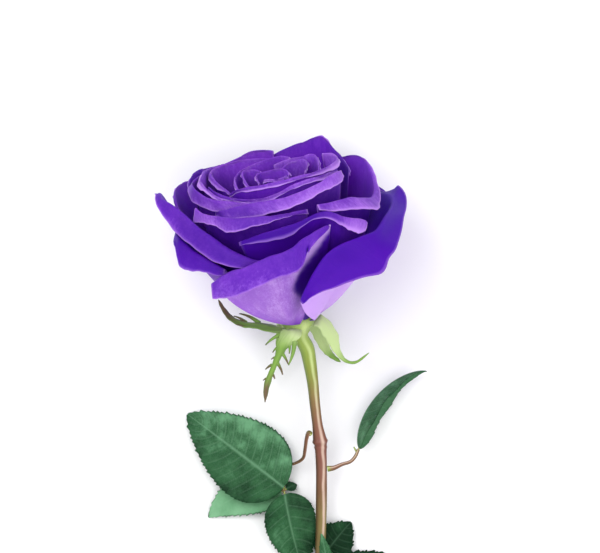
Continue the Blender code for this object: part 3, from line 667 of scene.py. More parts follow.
class PetalShaper:
    """Works out where every petal runs, so that none touches its neighbours."""

    belly = len(BELLY_ROWS)

    def __init__(self, plans: list[PetalPlan]) -> None:
        """Lays the petals out, then pushes them clear of one another.

        Args:
            plans: the petals, inside first.
        """
        self.plans = plans
        self.grids = [self._lay(plan, foot) for plan, foot in zip(plans, self._feet())]
        self._push_clear()

    def _feet(self) -> list[float]:
        """Stacks the petals' feet up the receptacle.

        Returns:
            Height of each petal's foot: outside petals lowest, overlapping feet a step apart.
        """
        heights = [0.0] * len(self.plans)
        for j in reversed(range(len(self.plans))):
            level = FOOT_RISE
            for k in range(j + 1, len(self.plans)):
                if abs((self.plans[j].foot - self.plans[k].foot + 180) % 360 - 180) < FOOT_APART:
                    level = max(level, heights[k] + FOOT_STEP)
            heights[j] = level
        return heights

    def _lay(self, plan: PetalPlan, foot_height: float) -> list[list[Vector]]:
        """Rows of points from a petal's foot over its fold to the free edge.

        Args:
            plan: the petal.
            foot_height: height of its foot on the axis, in millimetres.

        Returns:
            The rows, foot first.
        """
        foot_radius = FOOT_RADIUS - FOOT_TAPER * (foot_height - FOOT_RISE)
        k1, k2, k3, k4 = plan.cup.value
        side = 1.0 if plan.fold[-1][0] > plan.fold[0][0] else -1.0
        lean = SIDE * plan.middle[0] + FRONT * plan.middle[1]
        grid: list[list[Vector]] = [[] for _ in range(self.belly + len(BAND_ROWS))]
        for c in range(plan.columns):
            s = c / (plan.columns - 1)
            f, e = spline(plan.fold, s), spline(plan.edge, s)
            foot = plan.foot + side * (2 * s - 1) * FOOT_HALF
            rise, reach = f.z - foot_height, f.y - foot_radius
            for r, t in enumerate(BELLY_ROWS):
                radius = bezier(foot_radius, foot_radius + k1 * reach, foot_radius + k3 * reach, f.y, t)
                height = bezier(foot_height, foot_height + k2 * rise, foot_height + k4 * rise, f.z, t)
                angle = foot + (f.x - foot) * (1 - (1 - t) ** FOOT_TURN)
                grid[r].append(polar(angle, radius, height) + lean * t * t)
            top, rim = polar(*f) + lean, polar(*e) + lean
            span = rim - top
            if span.length < LEAST_BAND:
                span = span.normalized() if span.length > 1e-6 else -AXIS
            a = math.radians(f.x)
            outward = (SIDE * math.cos(a) + FRONT * math.sin(a) + AXIS).normalized()
            bulge = outward * span.length * plan.bulging
            for k, t in enumerate(BAND_ROWS):
                grid[self.belly + k].append(top + span * t + bulge * 4 * t * (1 - t))
        return grid

    def _tree(self, grid: list[list[Vector]]) -> tuple[BVHTree, float]:
        """Search tree over a petal's belly.

        Args:
            grid: its rows of points.

        Returns:
            The tree, and the sign that makes its normals point outwards.
        """
        rows, columns = self.belly, len(grid[0])
        faces = [(r * columns + c, r * columns + c + 1, (r + 1) * columns + c + 1, (r + 1) * columns + c)
                 for r in range(rows - 1) for c in range(columns - 1)]
        tree = BVHTree.FromPolygons([p for row in grid[:rows] for p in row], faces)
        mid = grid[rows // 2][columns // 2]
        _, normal, _, _ = tree.find_nearest(mid)
        away = mid - HEART - AXIS * (mid - HEART).dot(AXIS)
        return tree, (1.0 if normal.dot(away) > 0 else -1.0)

    @staticmethod
    def _clearance(point: Vector, tree: BVHTree, sign: float) -> tuple[float, Vector, int] | None:
        """How far a point stands off a petal.

        Args:
            point: the point.
            tree: the petal's search tree.
            sign: turns its normals outwards.

        Returns:
            Signed distance outwards, the normal and the face, or None where the surface faces away.
        """
        place, normal, face, distance = tree.find_nearest(point, SEARCH_REACH)
        if place is None:
            return None
        normal = normal * sign
        signed = (point - place).dot(normal)
        if abs(signed) < FACING_SHARE * distance and distance > TOUCHING_SHARE * PETAL_GAP:
            return None
        return signed, normal, face

    def _push_clear(self) -> None:
        """Moves petals outwards, round after round, until each clears the petals inside it."""
        for _ in range(RELAX_ROUNDS):
            trees = [self._tree(grid) for grid in self.grids]
            worst = 0.0
            for j, grid in enumerate(self.grids):
                shift = [[Vector() for _ in row] for row in grid]
                for i in range(j):
                    worst = max(worst, self._off(grid, shift, *trees[i]))
                    worst = max(worst, self._over(self.grids[i], grid, shift, *trees[j]))
                self._spread(shift)
                for r, row in enumerate(grid):
                    for c in range(len(row)):
                        row[c] = row[c] + shift[r][c] * RELAX_SHARE
            if worst < RELAX_END:
                break

    @staticmethod
    def _longer(a: Vector, b: Vector) -> Vector:
        """The longer of two shifts."""
        return a if a.length_squared > b.length_squared else b

    def _off(self, grid: list[list[Vector]], shift: list[list[Vector]], tree: BVHTree,
             sign: float) -> float:
        """Shifts an outer petal's points off an inner petal.

        Args:
            grid: the outer petal.
            shift: its shifts so far, added to in place.
            tree: the inner petal's tree.
            sign: turns its normals outwards.

        Returns:
            The worst lack of room, in millimetres.
        """
        worst = 0.0
        for r in range(1, self.belly):
            for c in range(len(grid[0])):
                found = self._clearance(grid[r][c], tree, sign)
                if found and found[0] < PETAL_GAP:
                    shift[r][c] = self._longer(shift[r][c], found[1] * (PETAL_GAP - found[0]))
                    worst = max(worst, PETAL_GAP - found[0])
        return worst

    def _over(self, inner: list[list[Vector]], grid: list[list[Vector]], shift: list[list[Vector]],
              tree: BVHTree, sign: float) -> float:
        """Shifts an outer petal's faces over the points of an inner petal.

        Args:
            inner: the inner petal.
            grid: the outer petal.
            shift: its shifts so far, added to in place.
            tree: the outer petal's tree.
            sign: turns its normals outwards.

        Returns:
            The worst lack of room, in millimetres.
        """
        worst = 0.0
        columns = len(grid[0])
        for point in (p for row in inner for p in row):
            found = self._clearance(point, tree, sign)
            if not found or -found[0] >= PETAL_GAP:
                continue
            lack = PETAL_GAP + found[0]
            worst = max(worst, lack)
            r, c = divmod(found[2], columns - 1)
            for rr, cc in ((r, c), (r, c + 1), (r + 1, c), (r + 1, c + 1)):
                if rr > 0:
                    shift[rr][cc] = self._longer(shift[rr][cc], found[1] * lack)
        return worst

    def _spread(self, shift: list[list[Vector]]) -> None:
        """Lets each point follow its neighbours a little, and the free edge follow the fold.

        Args:
            shift: a petal's shifts, changed in place.
        """
        columns = len(shift[0])
        old = [list(row) for row in shift]
        for r in range(1, self.belly):
            for c in range(columns):
                near = [old[r][k] for k in (c - 1, c + 1) if 0 <= k < columns]
                near += [old[k][c] for k in (r - 1, r + 1) if 0 <= k < self.belly]
                mean = sum(near, Vector()) / len(near)
                shift[r][c] = self._longer(shift[r][c], mean * FOLLOW_SHARE)
        for r in range(self.belly, len(shift)):
            for c in range(columns):
                shift[r][c] = shift[self.belly - 1][c].copy()


# ---------------------------------------------------------------- workbench
class Workbench:
    """Makes finished meshes from primitives."""

    @staticmethod
    def _grid(name: str, rows: int, columns: int) -> tuple[bpy.types.Object, np.ndarray]:
        """Adds a flat grid.

        Args:
            name: the new object's name.
            rows: points along it.
            columns: points across it.

        Returns:
            The object, and its vertex numbers in row and column order.
        """
        bpy.ops.object.select_all(action="DESELECT")
        bpy.ops.mesh.primitive_grid_add(x_subdivisions=columns - 1, y_subdivisions=rows - 1, size=1.0)
        obj = bpy.context.active_object
        obj.name = name
        obj.data.name = name
        flat = np.empty(len(obj.data.vertices) * 3)
        obj.data.vertices.foreach_get("co", flat)
        flat = flat.reshape(-1, 3).round(6)
        return obj, np.lexsort((flat[:, 0], flat[:, 1]))

    @staticmethod
    def _place(obj: bpy.types.Object, order: np.ndarray, points: np.ndarray) -> None:
        """Moves a grid's vertices to points given in millimetres from under the heart.

        Args:
            obj: the grid.
            order: its vertex numbers in row and column order.
            points: where they go.
        """
        flat = np.empty((len(order), 3))
        flat[order] = (points.reshape(-1, 3) + SETTLE) * MM
        obj.data.vertices.foreach_set("co", flat.ravel())
        obj.data.update()

    @staticmethod
    def mark(obj: bpy.types.Object, name: str, values: np.ndarray) -> None:
        """Stores a number or a vector on each vertex.

        Args:
            obj: the piece.
            name: the mark's name.
            values: one for each vertex.
        """
        kind = "FLOAT_VECTOR" if values.ndim > 1 else "FLOAT"
        layer = obj.data.attributes.new(name, kind, "POINT")
        layer.data.foreach_set("vector" if values.ndim > 1 else "value", values.astype(np.float32).ravel())

    def sheet(self, name: str, points: np.ndarray, thickness: float,
              marks: dict[str, np.ndarray]) -> bpy.types.Object:
        """Closed thin sheet round a grid of points.

        Args:
            name: the new object's name.
            points: rows by columns by 3, in millimetres.
            thickness: in millimetres.
            marks: values for each grid point, stored on both faces; "reverse" is added, 1 on the face that
                the grid's normals point away from.

        Returns:
            The finished object.
        """
        rows, columns = points.shape[:2]
        obj, order = self._grid(name, rows, columns)
        self._place(obj, order, points)
        sheet = obj.modifiers.new("sheet", "SOLIDIFY")
        sheet.thickness = thickness * MM
        sheet.offset = 0.0
        sheet.use_even_offset = False
        bpy.ops.object.modifier_apply(modifier="sheet")
        count = rows * columns
        back = np.empty(count, dtype=int)
        back[order] = np.arange(count)
        flat = np.empty(len(obj.data.vertices) * 3)
        obj.data.vertices.foreach_get("co", flat)
        flat = flat.reshape(-1, 3) / MM - SETTLE
        mids, facing = points.reshape(-1, 3)[back], normals_of(points).reshape(-1, 3)[back]
        both = np.concatenate([back, back])
        side = ((flat - np.tile(mids, (2, 1))) * np.tile(facing, (2, 1))).sum(axis=1)
        self.mark(obj, "reverse", (side < 0).astype(float))
        for key, values in marks.items():
            self.mark(obj, key, values.reshape(count, -1).squeeze()[both])
        obj.data.shade_smooth()
        return obj

    def tube(self, name: str, path: np.ndarray, radii: np.ndarray, marks: dict[str, np.ndarray],
             sides: int) -> bpy.types.Object:
        """Closed tube along a path.

        Args:
            name: the new object's name.
            path: points in millimetres.
            radii: rows by sides, or one for each point of the path.
            marks: one value for each point of the path; "around" is added, the share of a turn.
            sides: points in a ring.

        Returns:
            The finished object.
        """
        rows = len(path)
        radii = np.broadcast_to(radii.reshape(rows, -1), (rows, sides)).copy()
        tangents = unit(np.gradient(path, axis=0))
        up = np.zeros_like(path)
        guide = np.array((0.0, 0.0, 1.0)) if abs(tangents[0][2]) < 0.9 else np.array((1.0, 0.0, 0.0))
        for i, ahead in enumerate(tangents):
            guide = guide - ahead * guide.dot(ahead)
            guide /= np.linalg.norm(guide)
            up[i] = guide
        across = np.cross(tangents, up)
        turn = np.linspace(0.0, math.tau, sides + 1)
        radii = np.concatenate([radii, radii[:, :1]], axis=1)
        rings = (path[:, None] + across[:, None] * np.cos(turn)[None, :, None] * radii[..., None]
                 + up[:, None] * np.sin(turn)[None, :, None] * radii[..., None])
        ends = [np.broadcast_to(path[i], (1, sides + 1, 3)) for i in (0, -1)]
        rings = np.concatenate([ends[0], rings, ends[1]])
        obj, order = self._grid(name, rows + 2, sides + 1)
        self._place(obj, order, rings)
        back = np.empty(len(order), dtype=int)
        back[order] = np.arange(len(order))
        self.mark(obj, "around", np.tile(turn / math.tau, rows + 2)[back])
        for key, values in marks.items():
            full = np.concatenate([values[:1], values, values[-1:]])
            self.mark(obj, key, np.repeat(full, sides + 1, axis=0)[back])
        bpy.ops.object.mode_set(mode="EDIT")
        bpy.ops.mesh.select_all(action="SELECT")
        bpy.ops.mesh.remove_doubles(threshold=0.000002)
        bpy.ops.mesh.normals_make_consistent(inside=False)
        bpy.ops.object.mode_set(mode="OBJECT")
        obj.data.shade_smooth()
        return obj

    @staticmethod
    def join(obj: bpy.types.Object, others: list[bpy.types.Object]) -> bpy.types.Object:
        """Joins other pieces into the first one.

        Args:
            obj: the first piece.
            others: the rest.

        Returns:
            The first piece, with the others in it.
        """
        if others:
            bpy.ops.object.select_all(action="DESELECT")
            for each in (*others, obj):
                each.select_set(True)
            bpy.context.view_layer.objects.active = obj
            bpy.ops.object.join()
        return obj

    @staticmethod
    def finish(obj: bpy.types.Object, finish: bpy.types.Material, slot: str, node: str | None) -> None:
        """Gives a piece its material and its place on the flower's body.

        Args:
            obj: the piece.
            finish: its material.
            slot: the record's material slot; not used.
            node: the solid that the piece stands for, if any.
        """
        obj.data.materials.clear()
        obj.data.materials.append(finish)
        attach(obj, "root")
        if node:
            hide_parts(node)
        log.info("%s: %d faces", obj.name, len(obj.data.polygons))


# ---------------------------------------------------------------- shader writing
class Value:
    """A shader socket that plain arithmetic can be written on."""

    def __init__(self, graph: "Graph", socket: bpy.types.NodeSocket) -> None:
        """Wraps an output socket of a graph."""
        self.graph = graph
        self.socket = socket

    def _maths(self, operation: str, *terms: "Value | float") -> "Value":
        """Adds a Math node."""
        return self.graph.node("ShaderNodeMath", dict(enumerate(terms)), {"operation": operation})

    def __add__(self, other: "Value | float") -> "Value":
        """Sum."""
        return self._maths("ADD", self, other)

    def __sub__(self, other: "Value | float") -> "Value":
        """Difference."""
        return self._maths("SUBTRACT", self, other)

    def __rsub__(self, other: float) -> "Value":
        """Difference from a number."""
        return self._maths("SUBTRACT", other, self)

    def __mul__(self, other: "Value | float") -> "Value":
        """Product."""
        return self._maths("MULTIPLY", self, other)

    __radd__ = __add__
    __rmul__ = __mul__

    def least(self, other: "Value | float") -> "Value":
        """Smaller of two values."""
        return self._maths("MINIMUM", self, other)

    def most(self, other: "Value | float") -> "Value":
        """Larger of two values."""
        return self._maths("MAXIMUM", self, other)

    def rise(self, low: float, high: float) -> "Value":
        """Smooth rise from 0 at low to 1 at high."""
        return self.graph.node("ShaderNodeMapRange", {0: self, 1: low, 2: high, 3: 0.0, 4: 1.0},
                               {"interpolation_type": "SMOOTHSTEP"})


class Graph:
    """One material's nodes."""

    def __init__(self, name: str, roughness: float, **constants: float) -> None:
        """Starts a Principled material.

        Args:
            name: the material's name.
            roughness: the base roughness.
            constants: other sockets of the shader, underscores for spaces.
        """
        self.material = bpy.data.materials.new(name)
        self.material.use_nodes = True
        self.tree = self.material.node_tree
        self.tree.nodes.clear()
        self.shader = self.tree.nodes.new("ShaderNodeBsdfPrincipled")
        out = self.tree.nodes.new("ShaderNodeOutputMaterial")
        self.tree.links.new(self.shader.outputs[0], out.inputs["Surface"])
        self.shader.inputs["Roughness"].default_value = roughness
        for key, value in constants.items():
            self.shader.inputs[key.replace("_", " ")].default_value = value

    def feed(self, socket: bpy.types.NodeSocket, value: "Value | float | Colour | Row") -> None:
        """Links or sets a socket.

        Args:
            socket: the input.
            value: a graph value to link, or a number, colour or vector to set.
        """
        if isinstance(value, Value):
            self.tree.links.new(value.socket, socket)
        elif isinstance(value, tuple) and socket.type == "RGBA":
            socket.default_value = (*value, 1.0)
        else:
            socket.default_value = value

    def node(self, kind: str, sockets: dict, settings: dict | None = None, output: int | str = 0) -> Value:
        """Adds any node.

        Args:
            kind: the node's type.
            sockets: values or links by input name or number.
            settings: its settings, set first; "stops" are a ramp's (place, colour) pairs.
            output: which output to hand back.

        Returns:
            The chosen output.
        """
        node = self.tree.nodes.new(kind)
        for key, value in (settings or {}).items():
            if key == "stops":
                self._stops(node.color_ramp, value)
            else:
                setattr(node, key, value)
        for key, value in sockets.items():
            self.feed(node.inputs[key], value)
        return Value(self, node.outputs[output])

    @staticmethod
    def _stops(ramp: bpy.types.ColorRamp, stops: list[tuple[float, Colour]]) -> None:
        """Sets a colour ramp's stops.

        Args:
            ramp: the ramp.
            stops: (place, colour) pairs.
        """
        while len(ramp.elements) < len(stops):
            ramp.elements.new(1.0)
        for element, (place, colour) in zip(ramp.elements, stops):
            element.position = place
            element.color = (*colour, 1.0)

    def mark(self, name: str) -> Value:
        """Number stored on the mesh."""
        return self.node("ShaderNodeAttribute", {}, {"attribute_name": name}, "Fac")

    def vector(self, name: str) -> Value:
        """Vector stored on the mesh."""
        return self.node("ShaderNodeAttribute", {}, {"attribute_name": name}, "Vector")

    def scaled(self, vector: Value, factors: Row) -> Value:
        """Vector stretched by three factors."""
        return self.node("ShaderNodeVectorMath", {0: vector, 1: factors}, {"operation": "MULTIPLY"})

    def noise(self, vector: Value, scale: float, detail: float = 2.0, roughness: float = 0.5) -> Value:
        """Noise value around 0.5.

        Args:
            vector: where it is read.
            scale: its fineness.
            detail: its octaves.
            roughness: their strength.

        Returns:
            The noise.
        """
        return self.node("ShaderNodeTexNoise", {"Vector": vector, "Scale": scale, "Detail": detail,
                                                "Roughness": roughness})

    def mix(self, factor: Value | float, a: Value | Colour, b: Value | Colour) -> Value:
        """Mix of two colours.

        Args:
            factor: share of the second.
            a: the first.
            b: the second.

        Returns:
            The mixed colour.
        """
        return self.node("ShaderNodeMix", {0: factor, 6: a, 7: b},
                         {"data_type": "RGBA", "blend_type": "MIX", "clamp_factor": True}, 2)

    def ramp(self, factor: Value, stops: list[tuple[float, Colour]]) -> Value:
        """Colour ramp."""
        return self.node("ShaderNodeValToRGB", {0: factor}, {"stops": stops})

    def shade(self, colour: Value, roughness: Value | None = None, height: Value | None = None,
              strength: float = 0.5, depth: float = 0.0002) -> bpy.types.Material:
        """Wires the finished channels to the shader.

        Args:
            colour: the base colour.
            roughness: the roughness, if it varies.
            height: relief for the bump, 0 to 1.
            strength: the bump's strength.
            depth: the bump's depth in metres.

        Returns:
            The material.
        """
        self.feed(self.shader.inputs["Base Color"], colour)
        if roughness is not None:
            self.feed(self.shader.inputs["Roughness"], roughness)
        if height is not None:
            bump = self.node("ShaderNodeBump", {"Strength": strength, "Distance": depth, "Height": height})
            self.feed(self.shader.inputs["Normal"], bump)
        return self.material


# ---------------------------------------------------------------- finishes
@dataclass(frozen=True)
class PetalFinish:
    """Velvety petal skin with saturated painted shade towards the feet and beside the fold, painted light
    on the lips and a painted highlight along the thin rims, over fine mottling and veins.
    """

    inside: Colour = (0.205, 0.050, 0.560)
    # Painted shade towards the petals' feet and beside the fold.
    depth_shade: Colour = (0.046, 0.001, 0.280)
    # Painted shadow in the tear.
    shadow: Colour = (0.012, 0.000, 0.080)
    # Painted light on the lips.
    light: Colour = (0.385, 0.165, 0.780)
    reverse: Colour = (0.340, 0.135, 0.710)
    pale: Colour = (0.600, 0.345, 0.960)
    # Painted highlight along the thin rims.
    rim: Colour = (0.520, 0.260, 0.900)
    vein_strength: float = 0.35
    blotch_strength: float = 1.2
    mottle_strength: float = 0.95
    roughness: float = 0.6

    def make(self) -> bpy.types.Material:
        """Builds the material.

        Returns:
            The finished material.
        """
        g = Graph("petal_skin", self.roughness, Specular_IOR_Level=0.12, Subsurface_Weight=0.3,
                  Subsurface_Radius=(0.6, 0.25, 1.0), Subsurface_Scale=0.003)
        grain, height = g.vector("grain"), g.mark("height")
        reverse, rim, tone, pale_and_ridge_highlight = (g.mark(name) for name in ("reverse", "rim", "tone", "pale_and_ridge_highlight"))
        veins = g.noise(g.scaled(grain, (0.9, 0.05, 1.0)), 1.0, 3.0, 0.6)
        blotch = g.noise(g.scaled(grain, (0.10, 0.08, 1.0)), 1.0, 3.0, 0.6)
        fine = g.noise(g.scaled(grain, (1.1, 0.8, 1.0)), 1.0, 4.0, 0.7)
        lift = ((veins - 0.5) * self.vein_strength + (blotch - 0.5) * self.blotch_strength
                + (fine - 0.5) * self.mottle_strength)
        inner = self._inner(g, height, reverse, tone, lift)
        # The reverse is paler; this also lays a painted highlight along the fold's ridge.
        paleness = lift * 1.1 + height * 0.25 + pale_and_ridge_highlight * 2.0 - 1.85
        outer = g.mix(paleness.rise(0.0, 0.9), self.reverse, self.pale)
        outer = g.mix(height.rise(0.0, 0.3), self.inside, outer)
        colour = g.mix(reverse * pale_and_ridge_highlight.least(1.0), inner, outer)
        # Painted shade beside the fold and a painted shadow in the tear.
        crease_shade = g.mark("crease_shade")
        colour = g.mix(crease_shade.rise(0.0, 0.6), colour, self.depth_shade)
        colour = g.mix(crease_shade.rise(0.62, 0.95), colour, self.shadow)
        # Painted highlight along the thin rims, as if light shone through the edge.
        colour = g.mix(rim * height.rise(0.6, 0.85) * (tone * 0.5 + 0.4), colour, self.rim)
        relief = veins * 0.5 + fine * 0.5
        rough = self.roughness + (fine - 0.5) * 0.15
        return g.shade(colour, rough, relief, 0.35, 0.0002)

    def _inner(self, g: Graph, height: Value, reverse: Value, tone: Value, lift: Value) -> Value:
        """Colour of the inner face: painted shade towards the foot, painted light where it opens and near
        its edge, and the most painted light on the lips.

        Args:
            g: the material's graph.
            height: place from foot to rim.
            reverse: 1 on the outer face.
            tone: how much painted light the petal gets.
            lift: the mottling, around 0.

        Returns:
            The colour.
        """
        # Painted shade towards the foot gives way to painted light higher up and near the free edge.
        open_part = height.rise(0.50, 0.86) * reverse + height.rise(0.30, 0.75) * (1 - reverse)
        open_part = open_part * (tone * 0.85 + 0.08)
        open_part = open_part.most((1 - g.mark("far")) * (tone * 1.2 + 0.1).least(0.45))
        inner = g.mix((open_part + lift * 0.35).rise(0.0, 1.0), self.depth_shade, self.inside)
        # Painted light on the lips.
        glow = (height * 2.0 - 2.35) * reverse + (height * 1.7 - 1.9) * (1 - reverse)
        return g.mix((lift * 0.8 + tone * 1.1 + glow).rise(0.0, 1.0), inner, self.light)


@dataclass(frozen=True)
class LeafFinish:
    """Waxy leaf skin with a pale midrib and side veins, painted highlights in patches and on the swellings
    between the veins, and painted shade on the darker leaves; the underside is paler.
    """

    # The dark colour is painted shade as well as the darker edges; the light colour is a painted highlight.
    dark: Colour = (0.000, 0.021, 0.005)
    green: Colour = (0.022, 0.095, 0.034)
    light: Colour = (0.120, 0.310, 0.155)
    under: Colour = (0.240, 0.490, 0.280)
    vein: Colour = (0.190, 0.400, 0.230)
    roughness: float = 0.36

    def make(self) -> bpy.types.Material:
        """Builds the material.

        Returns:
            The finished material.
        """
        g = Graph("leaf_skin", self.roughness, Specular_IOR_Level=0.08)
        grain = g.vector("grain")
        reverse, vein, tone, edge = g.mark("reverse"), g.mark("vein"), g.mark("tone"), g.mark("edge")
        rib = g.mark("rib")
        patch_and_highlight = g.noise(g.scaled(grain, (0.12, 0.12, 1.0)), 1.0, 4.0, 0.55)
        cells = g.node("ShaderNodeTexVoronoi", {"Vector": grain, "Scale": 1.4},
                       {"feature": "DISTANCE_TO_EDGE"})
        net = cells.rise(0.02, 0.16)
        # Painted light and shade: the leaflet's light level, painted highlight patches and lighter
        # swellings between the veins.
        lift = (patch_and_highlight - 0.5) * 2.1 + tone + (rib - 0.45) * 0.3
        colour = g.mix(lift.rise(-0.15, 0.6), self.dark, self.green)
        colour = g.mix(lift.rise(0.5, 1.2), colour, self.light)
        below = g.mix((patch_and_highlight - 0.2).rise(0.0, 0.8), self.light, self.under)
        below = g.mix(tone.rise(0.9, 0.5), below, self.green)
        colour = g.mix(reverse, colour, below)
        colour = g.mix((1 - net) * tone * 0.16, colour, self.vein)
        colour = g.mix(vein * (tone * 0.7 + 0.2).least(0.8), colour, self.vein)
        colour = g.mix(edge * (tone.rise(0.6, 0.9) * 0.65 + 0.25), colour, self.dark)
        fine = g.noise(grain, 6.0, 2.0)
        relief = net * 0.3 + rib * 0.4 + fine * 0.3
        rough = self.roughness + (patch_and_highlight - 0.5) * 0.3 + reverse * 0.25
        return g.shade(colour, rough, relief, 0.5, 0.0003)


@dataclass(frozen=True)
class StemFinish:
    """Ridged green bark that browns along the stem, with painted shade down both sides and a painted
    highlight streak along the top.
    """

    stops: tuple[tuple[float, Colour], ...] = (
        (0.00, (0.400, 0.540, 0.210)),
        (0.13, (0.330, 0.450, 0.090)),
        (0.22, (0.250, 0.290, 0.050)),
        (0.32, (0.230, 0.140, 0.055)),
        (0.44, (0.210, 0.070, 0.050)),
        (0.54, (0.210, 0.085, 0.055)),
        (0.60, (0.170, 0.085, 0.035)),
        (0.68, (0.200, 0.150, 0.045)),
        (1.00, (0.270, 0.215, 0.090)),
    )
    green_shade: Colour = (0.090, 0.190, 0.020)
    brown_shade: Colour = (0.070, 0.030, 0.014)
    green_gleam: Colour = (0.560, 0.680, 0.260)
    brown_gleam: Colour = (0.680, 0.500, 0.400)
    speckle: Colour = (0.080, 0.035, 0.020)
    pith: Colour = (0.520, 0.500, 0.300)
    roughness: float = 0.36

    def make(self) -> bpy.types.Material:
        """Builds the material.

        Returns:
            The finished material.
        """
        g = Graph("stem_skin", self.roughness, Specular_IOR_Level=0.3)
        along, around = g.mark("along"), g.mark("around")
        place = g.node("ShaderNodeCombineXYZ", {0: around * 14.0, 1: along * 9.0, 2: 0.0})
        streak = g.noise(place, 1.6, 4.0, 0.6)
        speck = g.noise(g.scaled(place, (3.0, 14.0, 1.0)), 2.2, 2.0)
        wander = around + (g.noise(g.scaled(place, (0.0, 1.0, 1.0)), 0.9) - 0.5) * 0.12
        colour = g.ramp(along + (streak - 0.5) * 0.12, list(self.stops))
        # Painted shade down both sides of the stem.
        shade = (1 - wander.rise(0.02, 0.24)) + wander.rise(0.38, 0.54)
        ripe = along.rise(0.18, 0.42)
        dark = g.mix(ripe, self.green_shade, self.brown_shade)
        colour = g.mix(shade * (ripe * 0.2 + 0.65), colour, dark)
        colour = g.mix((1 - streak.rise(0.25, 0.45)) * 0.5, colour, dark)
        # Painted highlight streak along the top.
        gleam = wander.rise(0.24, 0.30) * (1 - wander.rise(0.31, 0.38))
        gleam_colour = g.mix(ripe, self.green_gleam, self.brown_gleam)
        colour = g.mix(gleam * (streak * 0.8 + 0.4), colour, gleam_colour)
        colour = g.mix(speck.rise(0.62, 0.72) * 0.35, colour, self.speckle)
        colour = g.mix(g.mark("cut"), colour, self.pith)
        rough = self.roughness + (speck - 0.5) * 0.2
        return g.shade(colour, rough, streak * 0.7 + speck * 0.3, 0.5, 0.0004)


@dataclass(frozen=True)
class SepalFinish:
    """Pale downy sepal that greens and then browns towards its tip."""

    base: Colour = (0.520, 0.660, 0.280)
    middle: Colour = (0.200, 0.370, 0.050)
    tip: Colour = (0.130, 0.065, 0.030)
    edge: Colour = (0.060, 0.130, 0.015)
    roughness: float = 0.6

    def make(self) -> bpy.types.Material:
        """Builds the material.

        Returns:
            The finished material.
        """
        g = Graph("sepal_skin", self.roughness, Sheen_Weight=0.12)
        grain, along = g.vector("grain"), g.mark("along")
        streak = g.noise(g.scaled(grain, (1.4, 0.12, 1.0)), 1.0, 3.0, 0.6)
        shift = along + (streak - 0.5) * 0.22
        colour = g.mix(shift.rise(0.22, 0.55), self.base, self.middle)
        colour = g.mix(shift.rise(0.80, 1.05), colour, self.tip)
        colour = g.mix((1 - g.mark("vein")) * shift.rise(0.3, 0.6) * 0.45, colour, self.edge)
        return g.shade(colour, None, streak, 0.35, 0.0003)


# ---------------------------------------------------------------- the flower's parts
def ripple(s: np.ndarray, seed: float) -> np.ndarray:
    """Irregular wave across a petal.

    Args:
        s: place across it.
        seed: shifts the wave.

    Returns:
        About -1 to 1 at each place.
    """
    waves = ((0.55, 1.7, 0.37), (0.3, 3.9, 0.71), (0.2, 8.3, 0.53))
    return sum(size * np.sin(math.tau * (turns * s + shift * seed)) for size, turns, shift in waves)


